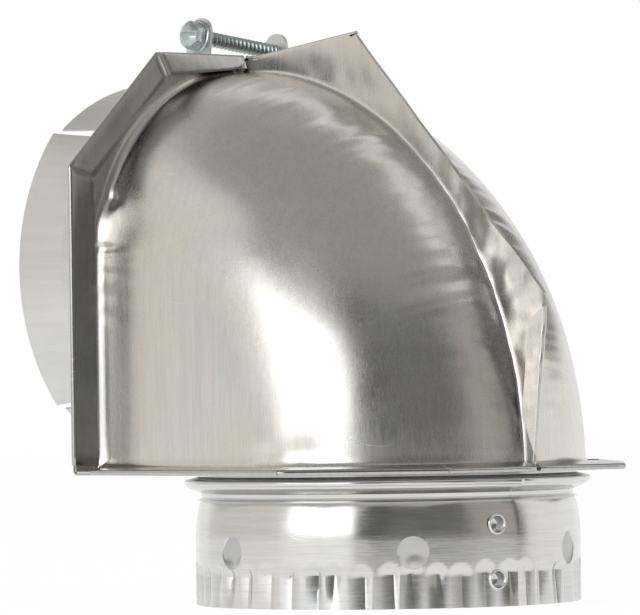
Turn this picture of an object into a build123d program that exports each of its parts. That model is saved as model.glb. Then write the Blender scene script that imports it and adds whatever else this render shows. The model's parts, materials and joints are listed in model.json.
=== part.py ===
"""Close-turn dryer vent elbow for a 4 in duct, pressed and folded from thin aluminium sheet.

Two identical pressings make the bend. One bent plate carries both round ports, and its edges are folded
over the pressings' flanges. A slit sleeve with a screw clamp fits over the dryer's exhaust pipe, and a
crimped spigot takes the duct. Both turn in the plate's holes.

Millimetres. +Z is up the spigot's axis, from its open end at the origin. The sleeve's axis is -X.
The bend is drawn from its throat, the corner where the port plate is bent: u runs from the inlet leg
towards the heel, w up from the outlet leg, and the mid-plane is y = 0.
"""

import os
from math import cos, hypot, radians, sin, sqrt, tan

from build123d import *

# Sheet and fits
sheet = 0.5                  # aluminium sheet of every folded and rolled piece
seam_clearance = 0.05        # between two layers of a folded seam
edge_clearance = 0.3         # from a sheet's cut edge to the fold that covers it
swivel_clearance = 0.3       # round a sleeve's neck in its port

# The bend
throat_margin = 5.3          # from the throat to the edge of each port
dome_half_width = 52.5       # of the pressings together, outside
port_fillet = 3.0            # from a pressing into its port flanges
seam_fillet = 1.6            # from a pressing into its mid flange

# Port plate: two legs of one outline, with cut corners
plate_half_width = 62.5
plate_margin = 5.0           # from the back of the bend to the far edge of each leg
plate_corner = 31.0          # legs of the cut corner
throat_radius = 1.0          # inside the plate's bend
fold_start = 7.0             # the side folds begin this far from the throat
fold_width = 7.2             # of a closed fold
side_fold_width = 5.2        # across an open fold
side_fold_lift = 4.1         # how far an open fold stands off
outlet_fold_lift = 0.6
seam_gap = 1.6               # from the mid-plane to the end of a fold
seam_end_width = 3.6         # of a fold where it meets the mid flange
seam_end_lift = 1.1          # there, over the pressing's fillet

# Mid flange: corners of its outline, the same both ways about the bend's diagonal
flange_inset = 1.0           # from a leg's far edge to the end of the flange there
flange_near = 45.0           # short ordinate of the two corners
flange_far = 117.0           # long ordinate of the two corners
tab_width = 5.0              # of the tab that folds over the other pressing
tab_ends = (4.0, 42.7)       # along the outer line of the fold
tab_inner_ends = (14.0, 38.3)

# Sleeves
duct_radius = 50.8           # outside of the spigot
pipe_clearance = 0.1         # round the dryer's pipe in the inlet sleeve
sleeve_reach = 34.5          # from the port plate to a sleeve's open end
neck_radius = 49.9           # outside, where a sleeve passes its port
bead_radius = 53.6           # outside of the bead that stops against the plate
bead_gap = 0.65              # from the bead to the plate
lip_radius = 52.4            # of the lip turned over inside the port
spigot_neck_length = 10.0    # the spigot narrows over this length below the plate
inlet_neck_length = 5.0

# Crimped end of the spigot
crimp_count = 48
crimp_length = 11.2
crimp_depth = 1.35
crimp_share = 0.8            # of the pitch taken by a groove
crimp_runout = 2.0           # the grooves fade out over this height
hole_count = 6
hole_radius = 4.2
hole_height = 14.4           # centre above the open end
hole_bearing = -35.5         # of the first hole about the spigot's axis
lap_bearing = -2.1           # free edge of the rolled sheet
lap_rise = 3.0               # degrees over which the lap's outer layer leaves the round wall
rivet_inset = 7.4            # degrees from the free edge to the rivets
rivet_heights = (7.0, 21.2)
rivet_radius = 2.0
rivet_bore = 1.5
rivet_head_radius = 2.7
rivet_head_height = 0.6
rivet_hole_clearance = 0.05

# Slits in the inlet sleeve
slit_count = 4
slit_width = 2.7
slit_root = 4.6              # from the port plate to the end of a slit

# Clamp
band_thickness = 0.8
band_width = 9.5
band_distance = 5.75         # from the port plate to the band
band_clearance = 0.05
ear_spread = 13.8            # from the clamp's middle to the middle of each ear
ear_bend = 1.6               # inside radius from the band into an ear
ear_round = 4.6              # at an ear's corners
screw_height = 61.7          # from the sleeve's axis to the screw's axis
ear_top = 5.2                # from the screw's axis to the end of an ear
clamp_turn = 7.0             # the clamp sits turned on the sleeve by this angle
screw_radius = 2.1
screw_length = 36.0          # under the head
screw_tip = 3.0
screw_clearance = 0.06
head_across_flats = 7.0
head_height = 4.6
head_dome = 0.9
washer_radius = 4.6
washer_height = 1.1
slot_width = 1.2
slot_depth = 1.3

# Worked out from the values above
fold_gap = sheet + 2 * seam_clearance
fold_radius = sheet + fold_gap / 2                       # outside of a folded edge
flange_face = 2 * sheet + seam_clearance                 # outer face of a pressing's port flange
mid_face = sheet + seam_clearance / 2                    # outer face of a pressing's mid flange
port_radius = neck_radius + swivel_clearance
port_offset = port_radius + throat_margin                # from the throat to each port's axis
plate_height = port_offset + dome_half_width + plate_margin
flange_end = plate_height - flange_inset                 # the mid flange's reach at a port plate
spigot_wall = duct_radius - sheet / 2                    # mid-line of the spigot's sheet
inlet_wall = duct_radius + pipe_clearance + sheet / 2
far = 1.5 * flange_far                                   # clear of the whole bend
throat = Pos(-port_offset, 0, sleeve_reach)              # from the bend's frame to the part's frame
inlet_axis_height = sleeve_reach + port_offset
half_corner = tan(radians(22.5))
upright = Plane(origin=(0, 0, 0), x_dir=(1, 0, 0), z_dir=(0, -1, 0))


def inset_outline(points, insets):
    """Corners of a convex outline after each edge, from one point to the next, moves in by its own inset."""
    lines = []
    for start, end, inset in zip(points, points[1:] + points[:1], insets):
        along = (end[0] - start[0], end[1] - start[1])
        size = hypot(*along)
        inward = (-along[1] / size, along[0] / size)
        lines.append((start[0] + inward[0] * inset, start[1] + inward[1] * inset, *along))
    corners = []
    for (ax, ay, adx, ady), (bx, by, bdx, bdy) in zip(lines[-1:] + lines[:-1], lines):
        share = ((bx - ax) * bdy - (by - ay) * bdx) / (adx * bdy - ady * bdx)
        corners.append((ax + adx * share, ay + ady * share))
    return corners


def prism(corners, plane, both_ways):
    """The outline drawn on a plane through the throat and extruded both ways."""
    return extrude(plane * make_face(Polyline(*corners, close=True)), both_ways, both=True)


def port_outline(inset):
    """One leg's outline as (across, from the throat), counter-clockwise from its lower left corner."""
    side, top = plate_half_width - inset, plate_height - inset
    cut = plate_corner + inset * (half_corner - 1)
    right = [(side, -far / 2), (side, top - cut), (side - cut, top)]
    return [(-x, y) for x, y in right] + [(x, y) for x, y in reversed(right)]


def inlet_prism(inset):
    """Everything that lies inside the inlet leg's outline."""
    return prism(port_outline(inset), Plane.YZ, far)


def outlet_prism(inset):
    """Everything that lies inside the outlet leg's outline."""
    return prism(port_outline(inset), Plane(origin=(0, 0, 0), x_dir=(0, 1, 0), z_dir=(0, 0, -1)), far)


def flange_waste(inset):
    """What is cut away in the layer of the two port flanges: all that lies outside the legs' outlines."""
    layer = flange_face + seam_clearance
    slab = Box(2 * far, 4 * far, 4 * far, align=(Align.MAX, Align.CENTER, Align.CENTER))
    floor = Box(4 * far, 4 * far, 2 * far, align=(Align.CENTER, Align.CENTER, Align.MAX))
    return Pos(layer, 0, 0) * slab - inlet_prism(inset), Pos(0, 0, layer) * floor - outlet_prism(inset)


def fold(stations, thickness=sheet):
    """A sheet edge folded back on itself along a line of stations.

    Each station is (point on the fold's outer line, inward direction, fold-over direction, width, lift).
    """
    sections = []
    for point, inward, over, width, lift in stations:

        def at(depth, height):
            return Vector(*point) + Vector(*inward) * depth + Vector(*over) * height

        top = 2 * fold_radius
        outer = ThreePointArc(at(fold_radius, 0), at(0, fold_radius), at(fold_radius, top))
        inner = ThreePointArc(at(fold_radius, top - thickness), at(thickness, fold_radius),
                              at(fold_radius, thickness))
        leaf = Polyline(at(fold_radius, top), at(width, top + lift), at(width, top + lift - thickness),
                        at(fold_radius, top - thickness))
        root = Line(at(fold_radius, thickness), at(fold_radius, 0))
        sections.append(make_face(Wire([outer, *leaf.edges(), inner, root])))
    spans = [loft([a, b], ruled=True) for a, b in zip(sections, sections[1:])]
    whole = spans[0]
    for span in spans[1:]:
        whole += span
    return whole


def dome(grow):
    """One half of the bend's hollow form, on the -y side: flat cheeks that run into a half-round back."""
    half_width = dome_half_width - grow
    cheek = Pos(port_offset / 2, -half_width / 2) * Rectangle(port_offset, half_width)
    back = Pos(port_offset, 0) * Circle(half_width)
    section = (cheek + back) & Pos(far / 2, -far / 2) * Rectangle(far, far)
    return revolve(section, Axis((0, 0, 0), (0, -1, 0)), 90)


def outside_space(grow):
    """The space that one pressing's outer skin encloses: a room's corner less the dome that stands in it."""
    wall, middle = flange_face - grow, mid_face - grow
    size = far - wall
    room = Pos(wall + size / 2, -middle - size / 2, wall + size / 2) * Box(size, size, size)
    room -= dome(grow)

    def lies_on(edge, axis, value):
        return all(abs(getattr(edge @ share, axis) - value) < seam_clearance / 10 for share in (0, 0.5, 1))

    def outer_rim(edge):
        sides = (("X", far), ("Y", -middle - size), ("Z", far))
        return any(lies_on(edge, axis, value) for axis, value in sides)

    def inner_edges(body, axes):
        walls = {"X": wall, "Y": -middle, "Z": wall}
        return [e for e in body.edges() if not outer_rim(e) and any(lies_on(e, a, walls[a]) for a in axes)]

    port_edges = [e for e in inner_edges(room, "XZ") if not lies_on(e, "Y", -middle)]
    room = fillet(port_edges, port_fillet + grow)
    return fillet(inner_edges(room, "Y"), seam_fillet + grow)


def pressing():
    """One half of the bend on the -y side, with its port flanges, mid flange and folded tab."""
    skin = outside_space(sheet) - outside_space(0)
    corners = [(-far / 2, -far / 2), (flange_end, -far / 2), (flange_end, 0), (flange_far, flange_near),
               (flange_near, flange_far), (0, flange_end), (-far / 2, flange_end)]
    plain_edge, tab_edge = fold_radius + edge_clearance, fold_radius
    insets = [0, plain_edge, plain_edge, 0, tab_edge, tab_edge, 0]
    outline = inset_outline(corners, insets)
    inset = fold_radius + edge_clearance
    skin = skin & prism(outline, upright, plate_half_width - inset)
    for waste in flange_waste(inset):
        skin -= waste
    rise = flange_far - flange_end
    edge = hypot(flange_near, rise)
    along = (flange_near / edge, 0, rise / edge)
    inward = (rise / edge, 0, -flange_near / edge)

    def on_edge(run, depth):
        return tuple(end + along[n] * run + inward[n] * depth for n, end in ((0, 0), (2, flange_end)))

    ends = [(x, -mid_face, z) for x, z in (on_edge(run, 0) for run in tab_ends)]
    tab = fold([(end, inward, (0, 1, 0), tab_width, 0) for end in ends])
    cut = [on_edge(tab_ends[0], 0), on_edge(tab_inner_ends[0], tab_width),
           on_edge(tab_inner_ends[1], tab_width), on_edge(tab_ends[1], 0)]
    return skin + (tab & prism(cut, upright, far))


def other_pressing(first):
    """The same pressing turned half a turn about the bend's diagonal, which brings it to the +y side."""
    return first.rotate(Axis((0, 0, 0), (1, 0, 1)), 180)


def leg_fold(side, inlet):
    """The folded edge of one leg, on one side of the mid-plane."""
    width = plate_half_width
    outline = [((width, fold_start), (-1, 0)),
               ((width, plate_height - plate_corner), (-1, -half_corner)),
               ((width - plate_corner, plate_height), (-half_corner, -1)),
               ((seam_gap, plate_height), (0, -1))]
    if inlet:
        shapes = [(side_fold_width, side_fold_lift)] * 2 + [(fold_width, 0), (seam_end_width, seam_end_lift)]
    else:
        shapes = [(fold_width, outlet_fold_lift)] * 3 + [(seam_end_width, seam_end_lift)]
    stations = []
    for ((across, reach), (turn, back)), (leaf, lift) in zip(outline, shapes):
        if inlet:
            stations.append(((0, side * across, reach), (0, side * turn, back), (1, 0, 0), leaf, lift))
        else:
            stations.append(((reach, side * across, 0), (back, side * turn, 0), (0, 0, 1), leaf, lift))
    return fold(stations)


def port_plate():
    """Both port plates in one sheet, bent square at the throat, with its edges folded over the pressings."""
    reach = plate_height
    corner = make_face(Polyline((0, 0), (reach, 0), (reach, sheet), (sheet, sheet), (sheet, reach),
                                (0, reach), close=True))
    bends = {(0, 0): throat_radius + sheet, (sheet, sheet): throat_radius}
    for (x, y), radius in bends.items():
        corner = fillet([v for v in corner.vertices() if hypot(v.X - x, v.Y - y) < sheet / 4], radius)
    plate = extrude(upright * corner, plate_half_width, both=True)
    plate = plate & inlet_prism(fold_radius) & outlet_prism(fold_radius)
    hole = Cylinder(port_radius, 8 * sheet)
    plate -= Pos(port_offset, 0, 0) * hole
    plate -= Pos(0, 0, port_offset) * Rot(0, 90, 0) * hole
    for side in (-1, 1):
        for inlet in (True, False):
            plate += leg_fold(side, inlet)
    return plate


def sheet_section(line, thickness, low, high):
    """A line given a thickness, then cut off square between two heights."""
    strip = make_face(offset(line, amount=thickness / 2, side=Side.BOTH).edges())
    return strip & Pos(0, (low + high) / 2) * Rectangle(4 * far, high - low)


def neck_profile(wall, neck_length, foot):
    """Half section of a sleeve's sheet from its foot to the lip inside the port, with z up to the port."""
    plate_face = sleeve_reach
    neck = neck_radius - sheet / 2
    bead = bead_radius - sheet / 2
    bead_top = plate_face - bead_gap - sheet / 2
    lip = plate_face + sheet + swivel_clearance + sheet / 2
    waist = bead_top - 4 * fold_radius
    points = [(wall, foot - 2 * sheet), (wall, plate_face - neck_length), (neck - sheet, waist),
              (bead, bead_top - fold_gap), (bead, bead_top), (neck, bead_top), (neck, lip),
              (lip_radius - sheet / 2, lip)]
    round_bend, tight = 1.5 * sheet, 0.48 * fold_gap
    radii = [neck_length / 3, round_bend, tight, tight, round_bend, round_bend]
    return sheet_section(FilletPolyline(*points, radius=radii), sheet, foot, lip + sheet)


def turned(profile):
    """A half section on the XZ plane turned about Z."""
    return revolve(Plane.XZ * profile, Axis.Z, 360)


def polar(radius, bearing):
    """A point on a level plane, with its bearing about Z in degrees."""
    return (radius * cos(radians(bearing)), radius * sin(radians(bearing)))


def crimp_wire(radius, depth):
    """Outline of the crimped wall at one height: ridges on the full circle, V grooves between them."""
    groove = crimp_share * 360 / crimp_count
    centre, flat = lap_bearing - rivet_inset, 2 * rivet_inset
    ridges = [(centre - flat / 2, centre + flat / 2)]
    step = (360 - flat - groove) / (crimp_count - 2)
    for n in range(crimp_count - 2):
        first = centre + flat / 2 + groove + n * step
        ridges.append((first, first + step - groove))
    edges = []
    for (first, last), (following, _) in zip(ridges, ridges[1:] + ridges[:1]):
        arc = (polar(radius, first), polar(radius, (first + last) / 2), polar(radius, last))
        valley = polar(radius - depth, last + groove / 2)
        edges += [ThreePointArc(*arc), Line(arc[2], valley), Line(valley, polar(radius, following))]
    return Wire(edges)


def crimped_skirt():
    """The crimped end of the spigot, up to where its grooves have faded out."""
    heights = [(0, crimp_depth), (crimp_length - crimp_runout / 2, crimp_depth),
               (crimp_length + crimp_runout / 2, sheet / 10)]
    solids = []
    for radius in (duct_radius, duct_radius - sheet):
        sections = [Pos(0, 0, z) * make_face(crimp_wire(radius, depth)) for z, depth in heights]
        solids.append(loft(sections[:2], ruled=True) + loft(sections[1:], ruled=True))
    return solids[0] - solids[1]


def lap_layer():
    """The outer layer of the spigot's lap, from where it leaves the round wall to its free edge."""
    outer, root = duct_radius + sheet, duct_radius - sheet / 10
    start, end = lap_bearing - 2 * rivet_inset, lap_bearing
    full = start + lap_rise
    outline = [Line(polar(root, start), polar(outer, full)),
               ThreePointArc(polar(outer, full), polar(outer, (full + end) / 2), polar(outer, end)),
               Line(polar(outer, end), polar(root, end)),
               ThreePointArc(polar(root, end), polar(root, (start + end) / 2), polar(root, start))]
    return extrude(make_face(Wire(outline)), sleeve_reach - spigot_neck_length)


def spigot():
    """The outlet sleeve: crimped at its open end, lapped, punched and beaded into its port."""
    foot = crimp_length + crimp_runout / 2
    body = turned(neck_profile(spigot_wall, spigot_neck_length, foot)) + crimped_skirt() + lap_layer()
    drill = Rot(0, 90, 0) * Cylinder(hole_radius, duct_radius, align=(Align.CENTER, Align.CENTER, Align.MIN))
    for n in range(hole_count):
        body -= Rot(0, 0, hole_bearing + n * 360 / hole_count) * Pos(duct_radius / 2, 0, hole_height) * drill
    rivet_drill = Rot(0, 90, 0) * Cylinder(rivet_radius + rivet_hole_clearance, duct_radius,
                                          align=(Align.CENTER, Align.CENTER, Align.MIN))
    for height in rivet_heights:
        body -= Rot(0, 0, lap_bearing - rivet_inset) * Pos(duct_radius / 2, 0, height) * rivet_drill
    return body


def rivet():
    """A tubular rivet along +X through the lap, whose outer face is at x = 0."""
    curve = rivet_head_radius ** 2 / (2 * duct_radius)   # the round wall falls away this far under the head
    back = -2 * sheet - curve - rivet_hole_clearance
    front, tail, rim = rivet_head_height, back - rivet_head_height, rivet_head_height / 3
    outline = make_face(Polyline((0, rivet_bore), (front, rivet_bore), (front, rivet_radius),
                                 (rim, rivet_head_radius), (0, rivet_head_radius), (0, rivet_radius),
                                 (back, rivet_radius), (back, rivet_head_radius), (tail, rivet_radius),
                                 (tail, rivet_bore), close=True))
    return revolve(outline, Axis.X, 360)


def spigot_rivets():
    """The two rivets of the spigot's lap."""
    turn = Rot(0, 0, lap_bearing - rivet_inset)
    return [turn * Pos(duct_radius + sheet, 0, height) * rivet() for height in rivet_heights]


def to_inlet(shape):
    """From a sleeve stood on its open end to the inlet: the open end goes to -X."""
    return Pos(-port_offset - sleeve_reach, 0, inlet_axis_height) * Rot(0, 90, 0) * shape


def inlet_sleeve():
    """The slit sleeve that slips over the dryer's exhaust pipe."""
    body = turned(neck_profile(inlet_wall, inlet_neck_length, 0))
    slit_length = sleeve_reach - slit_root
    for n in range(slit_count):
        slit = Pos(inlet_wall, 0, slit_length / 2) * Box(4 * sheet, slit_width, slit_length)
        body -= Rot(0, 0, 45 + n * 360 / slit_count) * slit
    return to_inlet(body)


def clamp_frame(shape):
    """From the clamp's own plane, with its ears up +Y and the screw along X, to its place on the sleeve.

    Depth 0 of that plane lies at the band's outer edge, and +Z runs towards the port plate.
    """
    edge = -port_offset - band_distance - band_width
    place = Plane(origin=(edge, 0, inlet_axis_height), x_dir=(0, 1, 0), z_dir=(1, 0, 0))
    return place * Rot(0, 0, -clamp_turn) * shape


def clamp_band():
    """The open steel band with its two upright ears."""
    radius = inlet_wall + sheet / 2 + band_clearance + band_thickness / 2
    ear_end = screw_height + ear_top
    overrun = ear_end + 2 * band_thickness
    bend = ear_bend + band_thickness / 2
    # Centre of the bend that leads from the ring into an upright ear
    centre_x = ear_spread + bend
    centre_y = sqrt((radius + bend) ** 2 - centre_x ** 2)
    touch = (centre_x * radius / (radius + bend), centre_y * radius / (radius + bend))
    middle = Vector(-1, 0) + Vector(touch[0] - centre_x, touch[1] - centre_y).normalized()
    middle = Vector(centre_x, centre_y) + middle.normalized() * bend
    right = [Line((ear_spread, overrun), (ear_spread, centre_y)),
             ThreePointArc((ear_spread, centre_y), (middle.X, middle.Y), touch)]
    ring = ThreePointArc(touch, (0, -radius), (-touch[0], touch[1]))
    left = [ThreePointArc((-touch[0], touch[1]), (-middle.X, middle.Y), (-ear_spread, centre_y)),
            Line((-ear_spread, centre_y), (-ear_spread, overrun))]
    strip = sheet_section(Wire([*right, ring, *left]), band_thickness, -2 * radius, ear_end)
    band = extrude(strip, band_width)
    tips = [e for e in band.edges().filter_by(Axis.X) if abs(e.center().Y - ear_end) < band_thickness / 4]
    band = fillet(tips, ear_round)
    hole = Cylinder(screw_radius + screw_clearance, 4 * ear_spread)
    band -= Pos(0, screw_height, band_width / 2) * Rot(0, 90, 0) * hole
    return clamp_frame(band)


def clamp_screw():
    """Slotted hex head screw with a washer face, through both ears."""
    seat = -ear_spread - band_thickness / 2 - screw_clearance
    head = extrude(RegularPolygon(head_across_flats / 2, 6, major_radius=False), head_height)
    crown = Pos(0, 0, head_height) * Cylinder(head_across_flats / 2, 2 * head_dome)
    head = head & (Cylinder(head_across_flats * 0.56, 2 * (head_height - head_dome)) + crown)
    head -= Pos(0, 0, head_height) * Box(2 * head_across_flats, slot_width, 2 * slot_depth)
    washer = Cylinder(washer_radius, washer_height, align=(Align.CENTER, Align.CENTER, Align.MIN))
    shank = Cylinder(screw_radius, screw_length - screw_tip, align=(Align.CENTER, Align.CENTER, Align.MAX))
    tip = Pos(0, 0, -screw_length + screw_tip) * Rot(180, 0, 0) * Cone(
        screw_radius, screw_radius / 3, screw_tip, align=(Align.CENTER, Align.CENTER, Align.MIN))
    screw = Pos(0, 0, washer_height) * head + washer + shank + tip
    return clamp_frame(Pos(seat, screw_height, band_width / 2) * Rot(0, -90, 0) * screw)


def write(node, shape):
    """One STEP file for one node; a list becomes a group of separate solids."""
    solids = shape if isinstance(shape, list) else [shape]
    whole = Compound(children=solids) if len(solids) > 1 else solids[0]
    export_step(whole, f"parts/{node}.step")


def main():
    """Builds every piece in the part's frame and writes it."""
    os.makedirs("parts", exist_ok=True)
    near = pressing()
    write("near_pressing", throat * near)
    write("far_pressing", throat * other_pressing(near))
    write("port_plate", throat * port_plate())
    write("outlet_spigot", spigot())
    write("spigot_rivets", spigot_rivets())
    write("inlet_sleeve", inlet_sleeve())
    write("clamp_band", clamp_band())
    write("clamp_screw", clamp_screw())


main()
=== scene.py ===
"""Looks of a close-turn dryer vent elbow, pressed and folded from thin aluminium sheet.

Sizes are millimetres in each piece's own frame. The bend is drawn from its throat, the corner where the port
plate is bent: x runs from the inlet leg towards the heel, z up from the outlet leg, and y = 0 is the
mid-plane. The studio is in metres.
"""

import json
import logging
import math
import random
from collections.abc import Callable, Iterator, Sequence
from contextlib import contextmanager
from dataclasses import dataclass, field
from enum import Enum
from typing import Any

import bmesh
import bpy
from mathutils import Matrix, Vector, noise

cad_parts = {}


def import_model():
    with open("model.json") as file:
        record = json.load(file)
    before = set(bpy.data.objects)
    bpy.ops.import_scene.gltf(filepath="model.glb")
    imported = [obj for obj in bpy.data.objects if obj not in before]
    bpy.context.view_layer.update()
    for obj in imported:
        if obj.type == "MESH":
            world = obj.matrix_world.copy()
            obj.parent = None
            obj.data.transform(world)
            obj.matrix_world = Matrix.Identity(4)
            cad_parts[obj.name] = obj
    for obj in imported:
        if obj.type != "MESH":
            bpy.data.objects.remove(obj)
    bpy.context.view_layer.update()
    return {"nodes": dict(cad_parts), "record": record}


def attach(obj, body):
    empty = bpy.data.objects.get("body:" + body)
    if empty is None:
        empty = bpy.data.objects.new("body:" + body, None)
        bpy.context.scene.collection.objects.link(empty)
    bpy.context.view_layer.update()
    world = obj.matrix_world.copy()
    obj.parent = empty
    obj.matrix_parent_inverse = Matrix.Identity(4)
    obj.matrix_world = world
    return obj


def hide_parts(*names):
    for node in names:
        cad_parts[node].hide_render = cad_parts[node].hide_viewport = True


log = logging.getLogger("elbow")
MM = 0.001
TOUCH = 1e-3  # a vertex nearer to a plane or a line than this lies on it, in millimetres
WHITE = (1.0, 1.0, 1.0, 1.0)
INSIDE = "inside"
Point = tuple[float, float]
Tone = tuple[float, float, float]


class Grain(Enum):
    """The way that the rolled sheet's grain runs on a piece."""

    UPRIGHT = (1.0, 1.0, 0.035)
    ALONG_X = (0.035, 1.0, 1.0)
    LEVEL = (0.05, 0.05, 1.0)


class Port(Enum):
    """The two ports of the bend."""

    INLET = "inlet"
    OUTLET = "outlet"


# Shader graph


class Value:
    """A number in a shader graph, with Python's arithmetic."""

    def __init__(self, graph: "Graph", socket: bpy.types.NodeSocket) -> None:
        """Wraps one output socket."""
        self.graph = graph
        self.socket = socket

    def _math(self, operation: str, first: Any, second: Any) -> "Value":
        """One Math node on two values."""
        return self.graph.node("ShaderNodeMath", {"operation": operation}, {0: first, 1: second})

    def __add__(self, other: Any) -> "Value":
        """self + other."""
        return self._math("ADD", self, other)

    def __radd__(self, other: Any) -> "Value":
        """other + self."""
        return self._math("ADD", other, self)

    def __sub__(self, other: Any) -> "Value":
        """self - other."""
        return self._math("SUBTRACT", self, other)

    def __rsub__(self, other: Any) -> "Value":
        """other - self."""
        return self._math("SUBTRACT", other, self)

    def __mul__(self, other: Any) -> "Value":
        """self * other."""
        return self._math("MULTIPLY", self, other)

    def __rmul__(self, other: Any) -> "Value":
        """other * self."""
        return self._math("MULTIPLY", other, self)

    def larger(self, other: Any) -> "Value":
        """The larger of two values."""
        return self._math("MAXIMUM", self, other)


class Graph:
    """A material's or world's node tree, built from nothing."""

    def __init__(self, owner: Any) -> None:
        """Clears the owner's node tree.

        Args:
            owner: a material or a world.
        """
        owner.use_nodes = True
        self.tree = owner.node_tree
        self.tree.nodes.clear()

    def node(self, kind: str, settings: dict[str, Any] | None = None, inputs: dict[Any, Any] | None = None,
             output: int | str = 0) -> Value:
        """Adds one node.

        Args:
            kind: the node's type.
            settings: its properties, set first; "stops" holds a ramp's (place, colour) pairs.
            inputs: socket name or number to a value, a colour or another node's Value.
            output: which output socket is returned.

        Returns:
            The node's output as a Value.
        """
        node = self.tree.nodes.new(kind)
        for name, value in (settings or {}).items():
            if name == "stops":
                self._set_stops(node.color_ramp, value)
            else:
                setattr(node, name, value)
        for key, value in (inputs or {}).items():
            if isinstance(value, Value):
                self.tree.links.new(value.socket, node.inputs[key])
            else:
                node.inputs[key].default_value = value
        return Value(self, node.outputs[output]) if node.outputs else Value(self, None)

    @staticmethod
    def _set_stops(ramp: bpy.types.ColorRamp, stops: Sequence[tuple[float, float]]) -> None:
        """Gives a ramp its grey stops.

        Args:
            ramp: the node's colour ramp.
            stops: (place, grey) pairs in order.
        """
        while len(ramp.elements) < len(stops):
            ramp.elements.new(1.0)
        for element, (place, grey) in zip(ramp.elements, stops):
            element.position = place
            element.color = (grey, grey, grey, 1.0)

    def ramp(self, factor: Value, *stops: tuple[float, float]) -> Value:
        """A grey ramp on a value."""
        return self.node("ShaderNodeValToRGB", {"stops": stops}, {"Fac": factor})

    def place(self, scale: Sequence[float]) -> Value:
        """Object coordinates, scaled to so many repeats per metre along each axis."""
        coordinates = self.node("ShaderNodeTexCoord", output="Object")
        return self.node("ShaderNodeMapping", inputs={"Vector": coordinates, "Scale": scale})

    def noise(self, scale: Sequence[float], detail: float = 3.0, roughness: float = 0.5) -> Value:
        """Noise on Object coordinates, from 0 to 1.

        Args:
            scale: repeats per metre along each axis.
            detail: octaves.
            roughness: strength of the finer octaves.

        Returns:
            The noise's factor.
        """
        return self.node("ShaderNodeTexNoise", {"noise_dimensions": "3D"},
                         {"Vector": self.place(scale), "Scale": 1.0, "Detail": detail,
                          "Roughness": roughness})

    def mix(self, factor: Value, first: Any, second: Any) -> Value:
        """A colour between two colours.

        Args:
            factor: 0 gives the first, 1 the second.
            first: colour or Value.
            second: colour or Value.

        Returns:
            The mixed colour.
        """
        return self.node("ShaderNodeMix", {"data_type": "RGBA"}, {0: factor, 6: first, 7: second}, output=2)

    def seen_plainly(self) -> Value:
        """1 for rays from the camera, off metal or through glass, and 0 for rays that carry light."""
        seen, mirrored, through = (self.node("ShaderNodeLightPath", output=f"Is {kind} Ray")
                                   for kind in ("Camera", "Glossy", "Transmission"))
        return seen.larger(mirrored).larger(through)


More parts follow.
